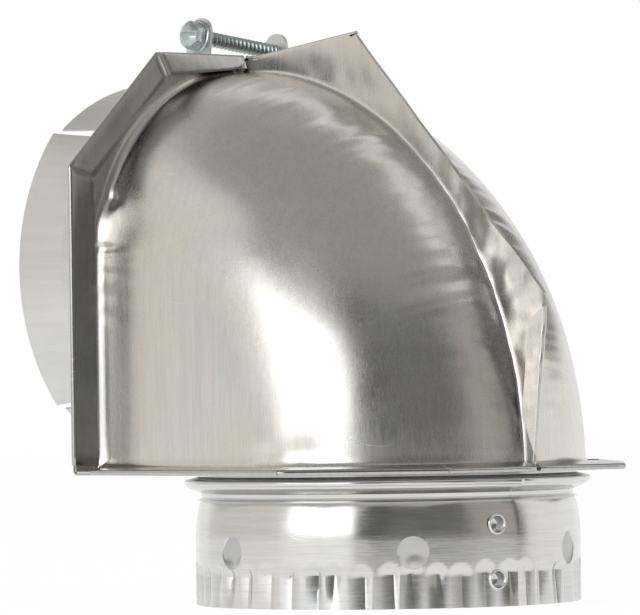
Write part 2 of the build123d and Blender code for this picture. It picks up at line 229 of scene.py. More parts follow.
@dataclass(frozen=True)
class SheetFinish:
    """Satin rolled sheet metal.

    It has fine grain one way, soft patches of tone, a few scratches, and a dull inner face. The inner face
    is also painted lighter than the outer: painted light that brightens the shaded inside of a sleeve.
    """

    name: str
    cool: Tone
    warm: Tone
    grain: Grain
    roughness: float = 0.27
    roughness_swing: float = 0.16
    grain_pitch: float = 0.34
    grain_depth: float = 0.006
    grain_tone: float = 0.22
    ripple_depth: float = 0.04
    patch_size: float = 26.0
    streak_scale: float = 0.2  # of the grain's repeats
    cloud_scale: float = 2.6  # of the patches' repeats
    grain_shade: float = 0.55  # of the warm tone, in the grain's valleys
    scratches: float = 0.6
    scratch_tone: Tone = (0.94, 0.94, 0.93)
    scratch_cover: float = 0.35
    scratch_polish: float = 0.08
    scratch_cut: float = 1.5  # times the grain's depth
    # painted light: a lighter colour for the inner face, so that the shaded inside of a sleeve reads bright
    inside: Tone = (0.95, 0.95, 0.945)
    inside_roughness: float = 0.66

    def material(self) -> bpy.types.Material:
        """Makes the material.

        Returns:
            A procedural metal that reads Object coordinates only.
        """
        made = bpy.data.materials.new(self.name)
        graph = Graph(made)
        per_metre = 1.0 / (self.grain_pitch * MM)
        grain = graph.noise([per_metre * part for part in self.grain.value], detail=4.0, roughness=0.65)
        streak = graph.noise([per_metre * self.streak_scale * part for part in self.grain.value],
                             detail=3.0, roughness=0.6)
        patch = graph.noise([1.0 / (self.patch_size * MM)] * 3, detail=4.0, roughness=0.62)
        cloud = graph.noise([self.cloud_scale / (self.patch_size * MM)] * 3, detail=2.0)
        scratch = self._scratch(graph)
        tone = graph.ramp(patch * 0.66 + streak * 0.34, (0.36, 0.0), (0.64, 1.0))
        colour = graph.mix(tone, (*self.cool, 1.0), (*self.warm, 1.0))
        shade = graph.ramp(grain * 0.55 + streak * 0.45, (0.36, 1.0), (0.56, 0.0))
        valley = (*(self.grain_shade * part for part in self.warm), 1.0)
        brushed = graph.mix(shade * self.grain_tone, colour, valley)
        worn = graph.mix(scratch * (self.scratch_cover * self.scratches), brushed, (*self.scratch_tone, 1.0))
        roughness = (self.roughness + (grain - 0.5) * self.roughness_swing
                     + (cloud - 0.5) * self.roughness_swing
                     - scratch * (self.scratch_polish * self.scratches))
        height = (grain * self.grain_depth + cloud * self.ripple_depth
                  - scratch * (self.grain_depth * self.scratch_cut))
        bump = graph.node("ShaderNodeBump", inputs={"Strength": 1.0, "Distance": MM, "Height": height})
        # painted light: the inner face takes the lighter inside colour, which brightens the shaded inside of
        # a sleeve
        inner = graph.node("ShaderNodeAttribute", {"attribute_name": INSIDE}, output="Fac")
        colour_with_painted_light_inside = graph.mix(inner, worn, (*self.inside, 1.0))
        dulled = roughness + inner * (self.inside_roughness - roughness)
        shader = graph.node("ShaderNodeBsdfPrincipled",
                            inputs={"Base Color": colour_with_painted_light_inside, "Metallic": 1.0, "Roughness": dulled,
                                    "Normal": bump})
        graph.node("ShaderNodeOutputMaterial", inputs={"Surface": shader})
        return made

    @staticmethod
    def _scratch(graph: Graph) -> Value:
        """Thin scattered scratches: the narrow crossings of a stretched noise, kept in patches.

        Args:
            graph: the material's graph.

        Returns:
            A mask, 1 on a scratch.
        """
        stretched, patchy = (34.0, 55.0, 160.0), (46.0, 46.0, 46.0)
        line = graph.ramp(graph.noise(stretched, detail=1.0), (0.495, 0.0), (0.5, 1.0), (0.505, 0.0))
        kept = graph.ramp(graph.noise(patchy, detail=1.0), (0.58, 0.0), (0.66, 1.0))
        return line * kept


PRESSED = SheetFinish("pressed_sheet", (0.71, 0.715, 0.71), (0.75, 0.71, 0.65), Grain.UPRIGHT)
PLATE = SheetFinish("plate_sheet", (0.50, 0.51, 0.51), (0.55, 0.54, 0.51), Grain.UPRIGHT, roughness=0.2,
                    roughness_swing=0.08, ripple_depth=0.02)
ROLLED = SheetFinish("rolled_sheet", (0.68, 0.70, 0.70), (0.73, 0.71, 0.68), Grain.LEVEL, roughness=0.2)
SLEEVE = SheetFinish("sleeve_sheet", (0.73, 0.73, 0.72), (0.76, 0.75, 0.73), Grain.ALONG_X, roughness=0.46,
                     grain_tone=0.12)
RIVET = SheetFinish("rivet_sheet", (0.78, 0.80, 0.80), (0.80, 0.80, 0.79), Grain.LEVEL, roughness=0.2,
                    grain_tone=0.05, scratches=0.0)
CLAMP_ZINC = SheetFinish("clamp_zinc", (0.66, 0.70, 0.70), (0.72, 0.73, 0.72), Grain.LEVEL, roughness=0.4,
                         grain_tone=0.1)
SCREW_ZINC = SheetFinish("screw_zinc", (0.46, 0.54, 0.54), (0.58, 0.62, 0.61), Grain.LEVEL, roughness=0.25,
                         patch_size=3.0, grain_tone=0.1)


# Modelling


def rounded_line(corners: Sequence[Point], radii: Sequence[float], steps: int = 5) -> list[Point]:
    """A polyline whose inner corners are arcs.

    Args:
        corners: the line's corners.
        radii: one radius for each inner corner.
        steps: points along each arc, less one.

    Returns:
        The points of the rounded line.
    """
    line = [Vector(corners[0])]
    for before, corner, after, radius in zip(corners, corners[1:], corners[2:], radii):
        here = Vector(corner)
        back, ahead = (Vector(before) - here).normalized(), (Vector(after) - here).normalized()
        half = back.angle(ahead) / 2
        reach = radius / math.tan(half)
        centre = here + (back + ahead).normalized() * (radius / math.sin(half))
        start, end = here + back * reach - centre, here + ahead * reach - centre
        for step in range(steps + 1):
            blend = start.lerp(end, step / steps).normalized() * radius
            line.append(centre + blend)
    line.append(Vector(corners[-1]))
    return [(p.x, p.y) for p in line]


def divided(points: Sequence[Point], longest: float) -> list[Point]:
    """The same polyline with no stretch longer than a length.

    Args:
        points: the line's points.
        longest: the longest stretch allowed.

    Returns:
        The divided line.
    """
    line = [points[0]]
    for start, end in zip(points, points[1:]):
        count = max(1, math.ceil(math.dist(start, end) / longest))
        for step in range(1, count + 1):
            share = step / count
            line.append(tuple(a + (b - a) * share for a, b in zip(start, end)))
    return line


def eased(share: float) -> float:
    """A smooth step from 0 to 1."""
    share = max(0.0, min(1.0, share))
    return share * share * (3.0 - 2.0 * share)


def wrapped(angle: float) -> float:
    """The same angle from -180 to 180 degrees."""
    return (angle + 180.0) % 360.0 - 180.0


class Bench:
    """One new mesh on the bench, shaped with Blender's edit-mode operators."""

    def __init__(self, obj: bpy.types.Object, name: str) -> None:
        """Takes a new object onto the bench under its name."""
        self.obj = obj
        obj.name = name
        obj.data.name = name

    @classmethod
    def primitive(cls, name: str, operator: Callable[..., Any], **settings: Any) -> "Bench":
        """Adds a primitive with nothing else selected.

        Args:
            name: the piece's name.
            operator: one of bpy.ops.mesh's primitives.
            settings: the operator's own settings.

        Returns:
            The bench with the new mesh.
        """
        bpy.ops.object.select_all(action="DESELECT")
        operator(**settings)
        return cls(bpy.context.object, name)

    @classmethod
    def line(cls, name: str, points: Sequence[Sequence[float]]) -> "Bench":
        """Draws an open line by extruding one vertex from point to point.

        Args:
            name: the piece's name.
            points: places in space.

        Returns:
            The bench with the line.
        """
        bench = cls.primitive(name, bpy.ops.mesh.primitive_plane_add, size=1.0)
        with bench.editing():
            bpy.ops.mesh.select_all(action="SELECT")
            bpy.ops.mesh.merge(type="CENTER")
            bpy.ops.transform.translate(value=points[0])
            for start, end in zip(points, points[1:]):
                step = Vector(end) - Vector(start)
                bpy.ops.mesh.extrude_region_move(TRANSFORM_OT_translate={"value": step})
        return bench

    @contextmanager
    def editing(self, mode: str = "VERT") -> Iterator[None]:
        """Edit mode on this mesh, for the length of a with block.

        Args:
            mode: VERT, EDGE or FACE.

        Returns:
            A context manager.
        """
        bpy.context.view_layer.objects.active = self.obj
        bpy.ops.object.mode_set(mode="EDIT")
        bpy.ops.mesh.select_mode(type=mode)
        yield
        bpy.ops.object.mode_set(mode="OBJECT")

    def _unselected(self) -> bmesh.types.BMesh:
        """The mesh in edit mode, with nothing selected.

        Returns:
            The mesh that edit mode holds.
        """
        mesh = bmesh.from_edit_mesh(self.obj.data)
        for part in (*mesh.faces, *mesh.edges, *mesh.verts):
            part.select = False
        return mesh

    def pick(self, test: Callable[[Vector], bool]) -> None:
        """Selects the vertices that pass a test, and what lies between them.

        Args:
            test: takes a vertex's place.
        """
        mesh = self._unselected()
        for vert in mesh.verts:
            if test(vert.co):
                vert.select = True
        mesh.select_flush(True)
        bmesh.update_edit_mesh(self.obj.data)

    def pick_faces(self, test: Callable[[bmesh.types.BMFace], bool]) -> None:
        """Selects the faces that pass a test.

        Args:
            test: takes a face.
        """
        mesh = self._unselected()
        for face in mesh.faces:
            if test(face):
                face.select_set(True)
        bmesh.update_edit_mesh(self.obj.data)

    def pick_flat(self, axis: int, value: float) -> None:
        """Selects the faces that lie in one plane square to an axis, 0, 1 or 2, at a value on it."""
        self.pick_faces(lambda face: all(abs(v.co[axis] - value) < TOUCH for v in face.verts))

    def cut(self, point: Sequence[float], away: Sequence[float]) -> None:
        """Bisects what is selected and clears the side that away points to."""
        bpy.ops.mesh.bisect(plane_co=point, plane_no=away, clear_outer=True)

    def move_selected(self, shift: Callable[[Vector], Vector]) -> None:
        """Moves each selected vertex by its own shift.

        Args:
            shift: takes a vertex's place and gives its move.
        """
        mesh = bmesh.from_edit_mesh(self.obj.data)
        for vert in mesh.verts:
            if vert.select:
                vert.co += shift(vert.co)
        bmesh.update_edit_mesh(self.obj.data)

    def spin(self, steps: int, angle: float, axis: Sequence[float]) -> None:
        """Spins the whole line about an axis through the origin and merges what meets.

        Args:
            steps: copies along the turn.
            angle: the turn, in degrees.
            axis: the axis.
        """
        with self.editing():
            bpy.ops.mesh.select_all(action="SELECT")
            bpy.ops.mesh.spin(steps=steps, angle=math.radians(angle), center=(0.0, 0.0, 0.0), axis=axis)
            bpy.ops.mesh.select_all(action="SELECT")
            bpy.ops.mesh.remove_doubles(threshold=0.01)

    def face_outwards(self, probe: Callable[[Vector, Vector], float]) -> None:
        """Recalculates the normals, then turns them all round if most point the wrong way.

        Args:
            probe: takes a face's centre and normal; positive where the normal is right.
        """
        with self.editing("FACE"):
            bpy.ops.mesh.select_all(action="SELECT")
            bpy.ops.mesh.normals_make_consistent(inside=False)
            mesh = bmesh.from_edit_mesh(self.obj.data)
            votes = sum(probe(f.calc_center_median(), f.normal) * f.calc_area() for f in mesh.faces)
            if votes < 0:
                bpy.ops.mesh.flip_normals()

    def displace(self, shift: Callable[[Vector, Vector], Vector]) -> None:
        """Moves every vertex, in object mode.

        Args:
            shift: takes a vertex's place and normal and gives its move.
        """
        moves = [shift(v.co, v.normal) for v in self.obj.data.vertices]
        for vert, move in zip(self.obj.data.vertices, moves):
            vert.co += move
        self.obj.data.update()

    def take_up(self) -> None:
        """Selects this object alone and makes it the active one."""
        bpy.ops.object.select_all(action="DESELECT")
        self.obj.select_set(True)
        bpy.context.view_layer.objects.active = self.obj

    def modify(self, kind: str, **settings: Any) -> None:
        """Adds one modifier and applies it.

        Args:
            kind: the modifier's type.
            settings: its properties.
        """
        self.take_up()
        modifier = self.obj.modifiers.new(kind.title(), kind)
        for name, value in settings.items():
            setattr(modifier, name, value)
        bpy.ops.object.modifier_apply(modifier=modifier.name)

    def mark_inside(self) -> None:
        """Marks the vertices of a sleeve's inner face, the sheet's dull side, whose lighter colour is painted
        light.
        """
        marks = self.obj.data.attributes.new(INSIDE, "FLOAT", "POINT")
        for vert, mark in zip(self.obj.data.vertices, marks.data):
            mark.value = 1.0 if vert.normal.dot(Vector((vert.co.x, vert.co.y, 0.0))) < 0.0 else 0.0

    def place(self, matrix: Matrix) -> None:
        """Moves the mesh to the part's frame and from millimetres to metres.

        Args:
            matrix: from the piece's frame to the part's frame, in millimetres.
        """
        self.obj.matrix_world = Matrix.Scale(MM, 4) @ matrix
        self.take_up()
        bpy.ops.object.transform_apply(location=True, rotation=True, scale=True)

    def join(self, other: "Bench") -> None:
        """Joins another bench's mesh into this one."""
        self.take_up()
        other.obj.select_set(True)
        bpy.ops.object.join()

    def finish(self, material: bpy.types.Material, body: str, slot: str, replaced: Sequence[str] = (),
               smooth_angle: float = 38.0) -> bpy.types.Object:
        """Dresses the piece and ties it to the frame.

        Args:
            material: its finish.
            body: the body that it rides on.
            slot: the record's material slot; not used.
            replaced: the nodes that it stands for.
            smooth_angle: edges sharper than this stay sharp, in degrees.

        Returns:
            The finished object.
        """
        self.take_up()
        bpy.ops.object.shade_smooth_by_angle(angle=math.radians(smooth_angle))
        self.obj.data.materials.clear()
        self.obj.data.materials.append(material)
        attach(self.obj, body)
        if replaced:
            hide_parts(*replaced)
        log.info("%s: %d vertices", self.obj.name, len(self.obj.data.vertices))
        return self.obj


# Pieces


@dataclass(frozen=True)
class Elbow:
    """Sizes that the pieces share, in millimetres."""

    sheet: float = 0.5
    seam_clearance: float = 0.05
    edge_clearance: float = 0.3
    port_offset: float = 55.5
    half_width: float = 52.5
    plate_half_width: float = 62.5
    plate_height: float = 113.0
    plate_corner: float = 31.0
    sleeve_reach: float = 34.5

    @property
    def fold_radius(self) -> float:
        """Outside radius of a folded edge."""
        return self.sheet + (self.sheet + 2 * self.seam_clearance) / 2

    @property
    def flange_face(self) -> float:
        """Outer face of a pressing's port flange, from the plate's outer face."""
        return 2 * self.sheet + self.seam_clearance

    @property
    def mid_face(self) -> float:
        """Outer face of a pressing's mid flange, from the mid-plane."""
        return self.sheet + self.seam_clearance / 2

    @property
    def throat(self) -> Matrix:
        """From the bend's frame to the part's frame."""
        return Matrix.Translation((-self.port_offset, 0.0, self.sleeve_reach))


@dataclass(frozen=True)
class Dent:
    """A soft dent in a pressing: place in the bend's frame, half-lengths along its axes, and depth.

    A sideways dent goes straight in from the cheek, so that it leaves the port flanges flat. A tail
    stretches the dent towards the heel.
    """

    place: tuple[float, float, float]
    size: tuple[float, float, float]
    depth: float
    sideways: bool = False
    tail: float = 1.0
    cutoff: float = 9.0  # no move past this squared distance, in half-lengths

    def move(self, point: Vector, normal: Vector) -> Vector:
        """How the dent moves a point of the sheet."""
        shares = [(p - c) / h for p, c, h in zip(point, self.place, self.size)]
        if shares[0] > 0.0:
            shares[0] /= self.tail
        away = sum(share * share for share in shares)
        depth = self.depth * math.exp(-away) if away < self.cutoff else 0.0
        return Vector((0.0, depth, 0.0)) if self.sideways else normal * -depth


NEAR_DENTS = (Dent((8.0, -51.0, 66.0), (4.8, 14.0, 6.0), 0.9, sideways=True, tail=7.0),
              Dent((4.0, -52.0, 60.0), (6.0, 8.0, 1.1), 0.5, sideways=True),
              Dent((3.5, -51.0, 73.0), (2.4, 8.0, 1.8), 0.5, sideways=True),
              Dent((6.0, -52.0, 57.0), (4.0, 8.0, 1.2), 0.25, sideways=True, tail=2.5),
              Dent((6.0, -52.0, 53.5), (4.0, 8.0, 1.3), 0.22, sideways=True, tail=2.5),
              Dent((6.0, -52.0, 47.5), (4.0, 8.0, 1.5), 0.2, sideways=True, tail=2.0),
              Dent((5.5, -52.0, 42.0), (3.0, 8.0, 1.6), 0.16, sideways=True, tail=2.0),
              Dent((66.0, -50.0, 5.0), (5.0, 8.0, 2.6), 0.4, sideways=True),
              Dent((76.0, -46.0, 6.0), (4.0, 8.0, 3.0), 0.45, sideways=True),
              Dent((40.0, -20.0, 93.0), (8.0, 10.0, 6.0), 0.5))


@dataclass
class Pressing:
    """One pressed half of the bend.

    It has a flat cheek, a half-round back, two port flanges, a mid flange and a folded tab.
    """

    name: str
    node: str
    elbow: Elbow
    turned: bool = False
    dents: Sequence[Dent] = ()
    seed: int = 0
    flange_end: float = 112.0
    flange_near: float = 45.0
    flange_far: float = 117.0
    tab_width: float = 5.0
    tab_ends: Point = (4.0, 42.7)
    tab_inner_ends: Point = (14.0, 38.3)
    tab_spring: float = 0.55
    tab_margin: float = 1.5  # trimmed off again at each end
    tab_fold_steps: int = 8
    tab_step: float = 1.1
    cheek_step: float = 2.6
    arc_steps: int = 56
    spin_steps: int = 96
    flange_steps: Sequence[float] = (0.8, 0.8, 0.9, 1.0, 1.2, 1.5, 1.8, 2.2, 2.6, 3.0, 3.4)
    crease_rows: Sequence[float] = (0.7, 1.4, 2.2, 3.2, 4.6, 6.6)
    crease_band: float = 0.15  # a vertex this near to a wall or flange counts as on it
    outline_band: float = 0.2  # the same for the dome's outline and the mid flange
    port_fillet: float = 2.8
    fillet_flare: Point = (2.0, 4.0)  # added radius at the fillet's foot, and how soon it fades
    cheek_flare: Point = (0.8, 11.0)  # lift of the cheek and how far it reaches
    cheek_flare_top: Point = (80.0, 14.0)  # where the lift has ended, and over which length it fades
    flare_swell: tuple[float, float, float] = (0.9, 66.5, 5.0)  # added share, level and spread
    swell_reach: float = 2.0
    seam_crease: float = 2.2
    seam_fade: float = 5.0  # fillets and buckles fade over this length from the mid flange
    wrinkle_depth: float = 0.6
    wrinkles: Sequence[Point] = ((13.0, 1.0), (36.0, 0.55), (70.0, 0.22))  # (pitch, share)
    wrinkle_lane: float = 11.0  # middle and half-width of the lane, round the back from the crest
    wrinkle_run: float = 0.03  # change along a wrinkle, per millimetre
    ripple_depth: float = 0.16
    ripple_size: float = 26.0
    worked_from: Point = (1.0, 7.0)  # distance from the edges where the ripples begin, and grow
    flange_wave: float = 0.55
    wave_clear: Point = (12.0, 22.0)  # distance from the plate where the buckles begin, and grow
    wave_heel: Point = (66.0, 26.0)  # where they grow towards the heel, and over which length
    wave_gain: Point = (0.5, 0.8)  # strength before the heel, and what the heel adds
    wave_sizes: Point = (13.0, 5.0)
    fine_wave: float = 0.45
    bench: Bench = field(init=False)

    @property
    def reach(self) -> float:
        """From the throat to the back of the bend."""
        return self.elbow.port_offset + self.elbow.half_width

    def build(self, material: bpy.types.Material, body: str, slot: str) -> bpy.types.Object:
        """Presses the sheet and dresses it.

        Args:
            material: its finish.
            body: the body that it rides on.
            slot: the record's material slot.

        Returns:
            The finished piece.
        """
        self._draw_dome()
        for port in Port:
            self._draw_port_flange(port)
        with self.bench.editing():
            bpy.ops.mesh.select_all(action="SELECT")
            bpy.ops.mesh.remove_doubles(threshold=0.02)
        self._trim_port_flanges()
        self._trim_mid_flange()
        self._round_creases()
        self.bench.face_outwards(lambda centre, normal: normal.dot(
            Vector((centre.x, 0.0, centre.z)).normalized() + Vector((0.0, -1.0, 0.0))))
        self._fold_tab()
        self.bench.modify("SUBSURF", levels=1, render_levels=1, boundary_smooth="PRESERVE_CORNERS")
        self._work_surface()
        self.bench.modify("SOLIDIFY", thickness=self.elbow.sheet, offset=-1.0)
        turn = Matrix.Rotation(math.pi, 4, Vector((1.0, 0.0, 1.0))) if self.turned else Matrix.Identity(4)
        self.bench.place(self.elbow.throat @ turn)
        return self.bench.finish(material, body, slot, [self.node])

    def _draw_dome(self) -> None:
        """Draws the section from the throat to the mid flange, and spins it a quarter turn."""
        offset, half, middle = self.elbow.port_offset, self.elbow.half_width, self.elbow.mid_face
        points = divided([(0.0, -half), (offset, -half)], self.cheek_step)
        last = math.asin(middle / half)
        for step in range(1, self.arc_steps + 1):
            angle = math.pi / 2 - (math.pi / 2 - last) * step / self.arc_steps
            points.append((offset + half * math.cos(angle), -half * math.sin(angle)))
        for width in self.flange_steps:
            points.append((points[-1][0] + width, -middle))
        self.bench = Bench.line(self.name, [(x, y, 0.0) for x, y in points])
        self.bench.spin(self.spin_steps, 90.0, (0.0, 1.0, 0.0))
        wall = self.elbow.flange_face
        with self.bench.editing():
            for away in ((-1.0, 0.0, 0.0), (0.0, 0.0, -1.0)):
                bpy.ops.mesh.select_all(action="SELECT")
                self.bench.cut((wall, 0.0, wall), away)
                for row in self.crease_rows:
                    bpy.ops.mesh.select_all(action="SELECT")
                    bpy.ops.mesh.bisect(plane_co=(wall + row, 0.0, wall + row), plane_no=away)

    def _arch_normal(self, port: Port, place: Vector) -> Vector:
        """Outward direction from the dome's outline, in a port's plane.

        Args:
            port: the port.
            place: a point of the outline.

        Returns:
            A unit vector in that plane.
        """
        height = place.z if port is Port.INLET else place.x
        if abs(place.y + self.elbow.mid_face) < self.outline_band:
            across, up = 0.0, 1.0
        elif height <= self.elbow.port_offset:
            across, up = -1.0, 0.0
        else:
            size = math.hypot(place.y, height - self.elbow.port_offset)
            across, up = place.y / size, (height - self.elbow.port_offset) / size
        return Vector((0.0, across, up)) if port is Port.INLET else Vector((up, across, 0.0))

    def _arch_distance(self, port: Port, place: Vector) -> float:
        """Distance from the dome's outline in a port's plane, positive outside it."""
        height = place.z if port is Port.INLET else place.x
        if height <= self.elbow.port_offset:
            return -place.y - self.elbow.half_width
        return math.hypot(place.y, height - self.elbow.port_offset) - self.elbow.half_width

    def _draw_port_flange(self, port: Port) -> None:
        """Extrudes a port flange from the dome's edge, one row after another."""
        axis = 0 if port is Port.INLET else 2
        wall = self.elbow.flange_face
        with self.bench.editing():
            self.bench.pick(lambda p: abs(p[axis] - wall) < TOUCH
                            and self._arch_distance(port, p) < self.outline_band)
            for width in self.flange_steps:
                bpy.ops.mesh.extrude_region_move()
                self.bench.move_selected(lambda p, width=width: self._arch_normal(port, p) * width)

    def _trim_port_flanges(self) -> None:
        """Cuts both port flanges to the plate's outline, less what its folds take."""
        elbow = self.elbow
        wall = elbow.flange_face
        inset = elbow.fold_radius + elbow.edge_clearance
        side, top = elbow.plate_half_width - inset, elbow.plate_height - inset
        diagonal = elbow.plate_half_width + elbow.plate_height - elbow.plate_corner - inset * math.sqrt(2)
        for axis, up in ((0, Vector((0, 0, 1))), (2, Vector((1, 0, 0)))):
            across = Vector((0, -1, 0))
            cuts = ((across * side, across), (up * top, up), (up * diagonal, (up + across).normalized()))
            for point, away in cuts:
                with self.bench.editing("FACE"):
                    self.bench.pick_flat(axis, wall)
                    self.bench.cut(point, away)

    def _mid_lines(self) -> list[tuple[Point, Point, float]]:
        """The mid flange's three trimmed edges as (start, end, inset), seen from the cheek's side."""
        plain = self.elbow.fold_radius + self.elbow.edge_clearance
        upper, lower = (self.flange_near, self.flange_far), (self.flange_far, self.flange_near)
        return [((0.0, self.flange_end), upper, self.elbow.fold_radius), (upper, lower, 0.0),
                (lower, (self.flange_end, 0.0), plain)]

    def _trim_mid_flange(self) -> None:
        """Cuts the mid flange to its outline."""
        for start, end, inset in self._mid_lines():
            along = Vector((end[0] - start[0], 0.0, end[1] - start[1])).normalized()
            away = Vector((-along.z, 0.0, along.x))
            point = Vector((start[0], 0.0, start[1])) - away * inset
            with self.bench.editing("FACE"):
                self.bench.pick_flat(1, -self.elbow.mid_face)
                self.bench.cut(point, away)

    def _round_creases(self) -> None:
        """Rounds the port creases to their fillet and smooths the seam's crease."""
        middle = self.elbow.mid_face

        def near_seam(p: Vector) -> bool:
            """True beside the mid flange's crease."""
            aside = abs(math.hypot(p.x, p.z) - self.reach)
            return -p.y - middle < self.seam_crease and aside < self.seam_crease

        self.bench.displace(lambda place, _normal: self._fillet_move(place))
        with self.bench.editing():
            self.bench.pick(near_seam)
            bpy.ops.mesh.vertices_smooth(factor=0.5, repeat=2)

    def _fillet_move(self, place: Vector) -> Vector:
        """How a vertex beside a port's sharp crease moves onto its fillet.

        Args:
            place: on the dome's wall or on a port flange.

        Returns:
            The move.
        """
        move, outward = Vector(), Vector()
        share = eased((-place.y - self.elbow.mid_face) / self.seam_fade)
        for port, axis in ((Port.INLET, 0), (Port.OUTLET, 2)):
            height, gap = place[axis] - self.elbow.flange_face, self._arch_distance(port, place)
            flare, fade = self.fillet_flare
            size = self.port_fillet + flare * math.exp(-(place[2 - axis] - self.elbow.flange_face) / fade)
            along = height if abs(gap) < self.crease_band else -gap
            if min(abs(height), abs(gap)) > self.crease_band or abs(along) >= size:
                continue
            turn = (along + size) / (2 * size) * math.pi / 2
            move[axis] += size * (1 - math.cos(turn)) - height
            pushed = self._arch_normal(port, place) * (size * (1 - math.sin(turn)) - gap)
            outward = pushed if pushed.length > outward.length else outward
        return (move + outward) * share

    def _fold_tab(self) -> None:
        """Folds the tab on the mid flange's inlet edge over to the other side."""
        start, end, inset = self._mid_lines()[0]
        along = Vector((end[0] - start[0], 0.0, end[1] - start[1])).normalized()
        inward = Vector((along.z, 0.0, -along.x))
        origin = Vector((start[0], -self.elbow.mid_face, start[1]))
        radius = self.elbow.fold_radius

        def on_edge(p: Vector) -> bool:
            """True on the trimmed edge, within the tab's length."""
            run, depth = (p - origin).dot(along), (p - origin).dot(inward)
            first, last = self.tab_ends[0] - self.tab_margin, self.tab_ends[1] + self.tab_margin
            return abs(depth - inset) < TOUCH and first < run < last

        turns = [math.pi * n / self.tab_fold_steps for n in range(self.tab_fold_steps + 1)]
        path = [(radius * (1 - math.sin(a)), radius * (1 - math.cos(a))) for a in turns]
        leaf = divided([path[-1], (self.tab_width, path[-1][1] + self.tab_spring)], self.tab_step)
        path += leaf[1:]
        with self.bench.editing():
            self.bench.pick(on_edge)
            for (depth, height), (next_depth, next_height) in zip(path, path[1:]):
                step = inward * (next_depth - depth) + Vector((0.0, next_height - height, 0.0))
                bpy.ops.mesh.extrude_region_move(TRANSFORM_OT_translate={"value": step})
        for outer, inner, sign in zip(self.tab_ends, self.tab_inner_ends, (-1.0, 1.0)):
            slope = along * (inner - outer) + inward * self.tab_width
            away = Vector((0.0, 1.0, 0.0)).cross(slope).normalized()
            away = away if away.dot(along) * sign > 0 else -away
            with self.bench.editing("FACE"):
                self.bench.pick_faces(lambda f: max(v.co.y for v in f.verts) > -self.elbow.mid_face + TOUCH
                                      and f.calc_center_median().z > self.reach)
                self.bench.cut(origin + along * outer, away)

    def _work_surface(self) -> None:
        """Adds what the press left in the sheet: draw wrinkles beside the crest, slow ripples and dents."""
        reach, wall = self.reach, self.elbow.flange_face
        begin, grow = self.worked_from

        def shift(place: Vector, normal: Vector) -> Vector:
            """One vertex's move."""
            radius = math.hypot(place.x, place.z)
            inside = reach - radius
            edge = min(place.x - wall, place.z - wall, -place.y - self.elbow.mid_face)
            keep = max(0.0, min(1.0, (edge - begin) / grow))
            bearing = math.atan2(place.z, place.x)
            round_back = self.elbow.half_width * math.acos(
                max(-1.0, min(1.0, 1.0 - inside / self.elbow.half_width)))
            lane = math.exp(-((round_back - self.wrinkle_lane) / self.wrinkle_lane) ** 2)
            run = round_back * self.wrinkle_run
            wave = sum(share * noise.noise(Vector((bearing * pitch, run, self.seed)))
                       for pitch, share in self.wrinkles)
            wrinkle = self.wrinkle_depth * lane * wave * max(0.0, math.sin(2 * bearing)) ** 0.5
            ripple = self.ripple_depth * noise.noise(place / self.ripple_size + Vector((self.seed, 0.0, 0.0)))
            dent = sum((dent.move(place, normal) for dent in self.dents), Vector())
            sideways = self._flange_wave(place) - self._cheek_lift(place)
            return normal * ((wrinkle + ripple) * keep) + dent + Vector((0.0, sideways, 0.0))

        self.bench.displace(shift)

    def _cheek_lift(self, place: Vector) -> float:
        """How far the cheek stands out where it runs into the inlet fillet."""
        (lift, reach), (top, fade) = self.cheek_flare, self.cheek_flare_top
        swell, level, spread = self.flare_swell
        local = math.exp(-((place.z - level) / spread) ** 2)
        beside = max(0.0, 1.0 - (place.x - self.elbow.flange_face) / (reach + self.swell_reach * local))
        foot = max(0.0, 1.0 - max(0.0, self._arch_distance(Port.INLET, place)) / self.port_fillet)
        return lift * (1.0 + swell * local) * beside ** 2 * foot * eased((top - place.z) / fade)

    def _flange_wave(self, place: Vector) -> float:
        """How far the mid flange is buckled sideways at a place, the same for both halves.

        Args:
            place: in this pressing's own frame.

        Returns:
            The move along y.
        """
        near = eased(1.0 - (abs(place.y) - self.elbow.mid_face) / self.seam_fade)
        (begin, grow), (heel_start, heel_length) = self.wave_clear, self.wave_heel
        clear = eased((min(place.x, place.z) - begin) / grow)
        along, up = (place.z, place.x) if self.turned else (place.x, place.z)
        calm, added = self.wave_gain
        heel = calm + added * eased((along - heel_start) / heel_length)
        broad, fine = self.wave_sizes
        wave = noise.noise(Vector((along / broad, up / broad, 4.0))) + self.fine_wave * noise.noise(
            Vector((along / fine, up / fine, 8.0)))
        return self.flange_wave * wave * heel * near * clear * (-1.0 if self.turned else 1.0)


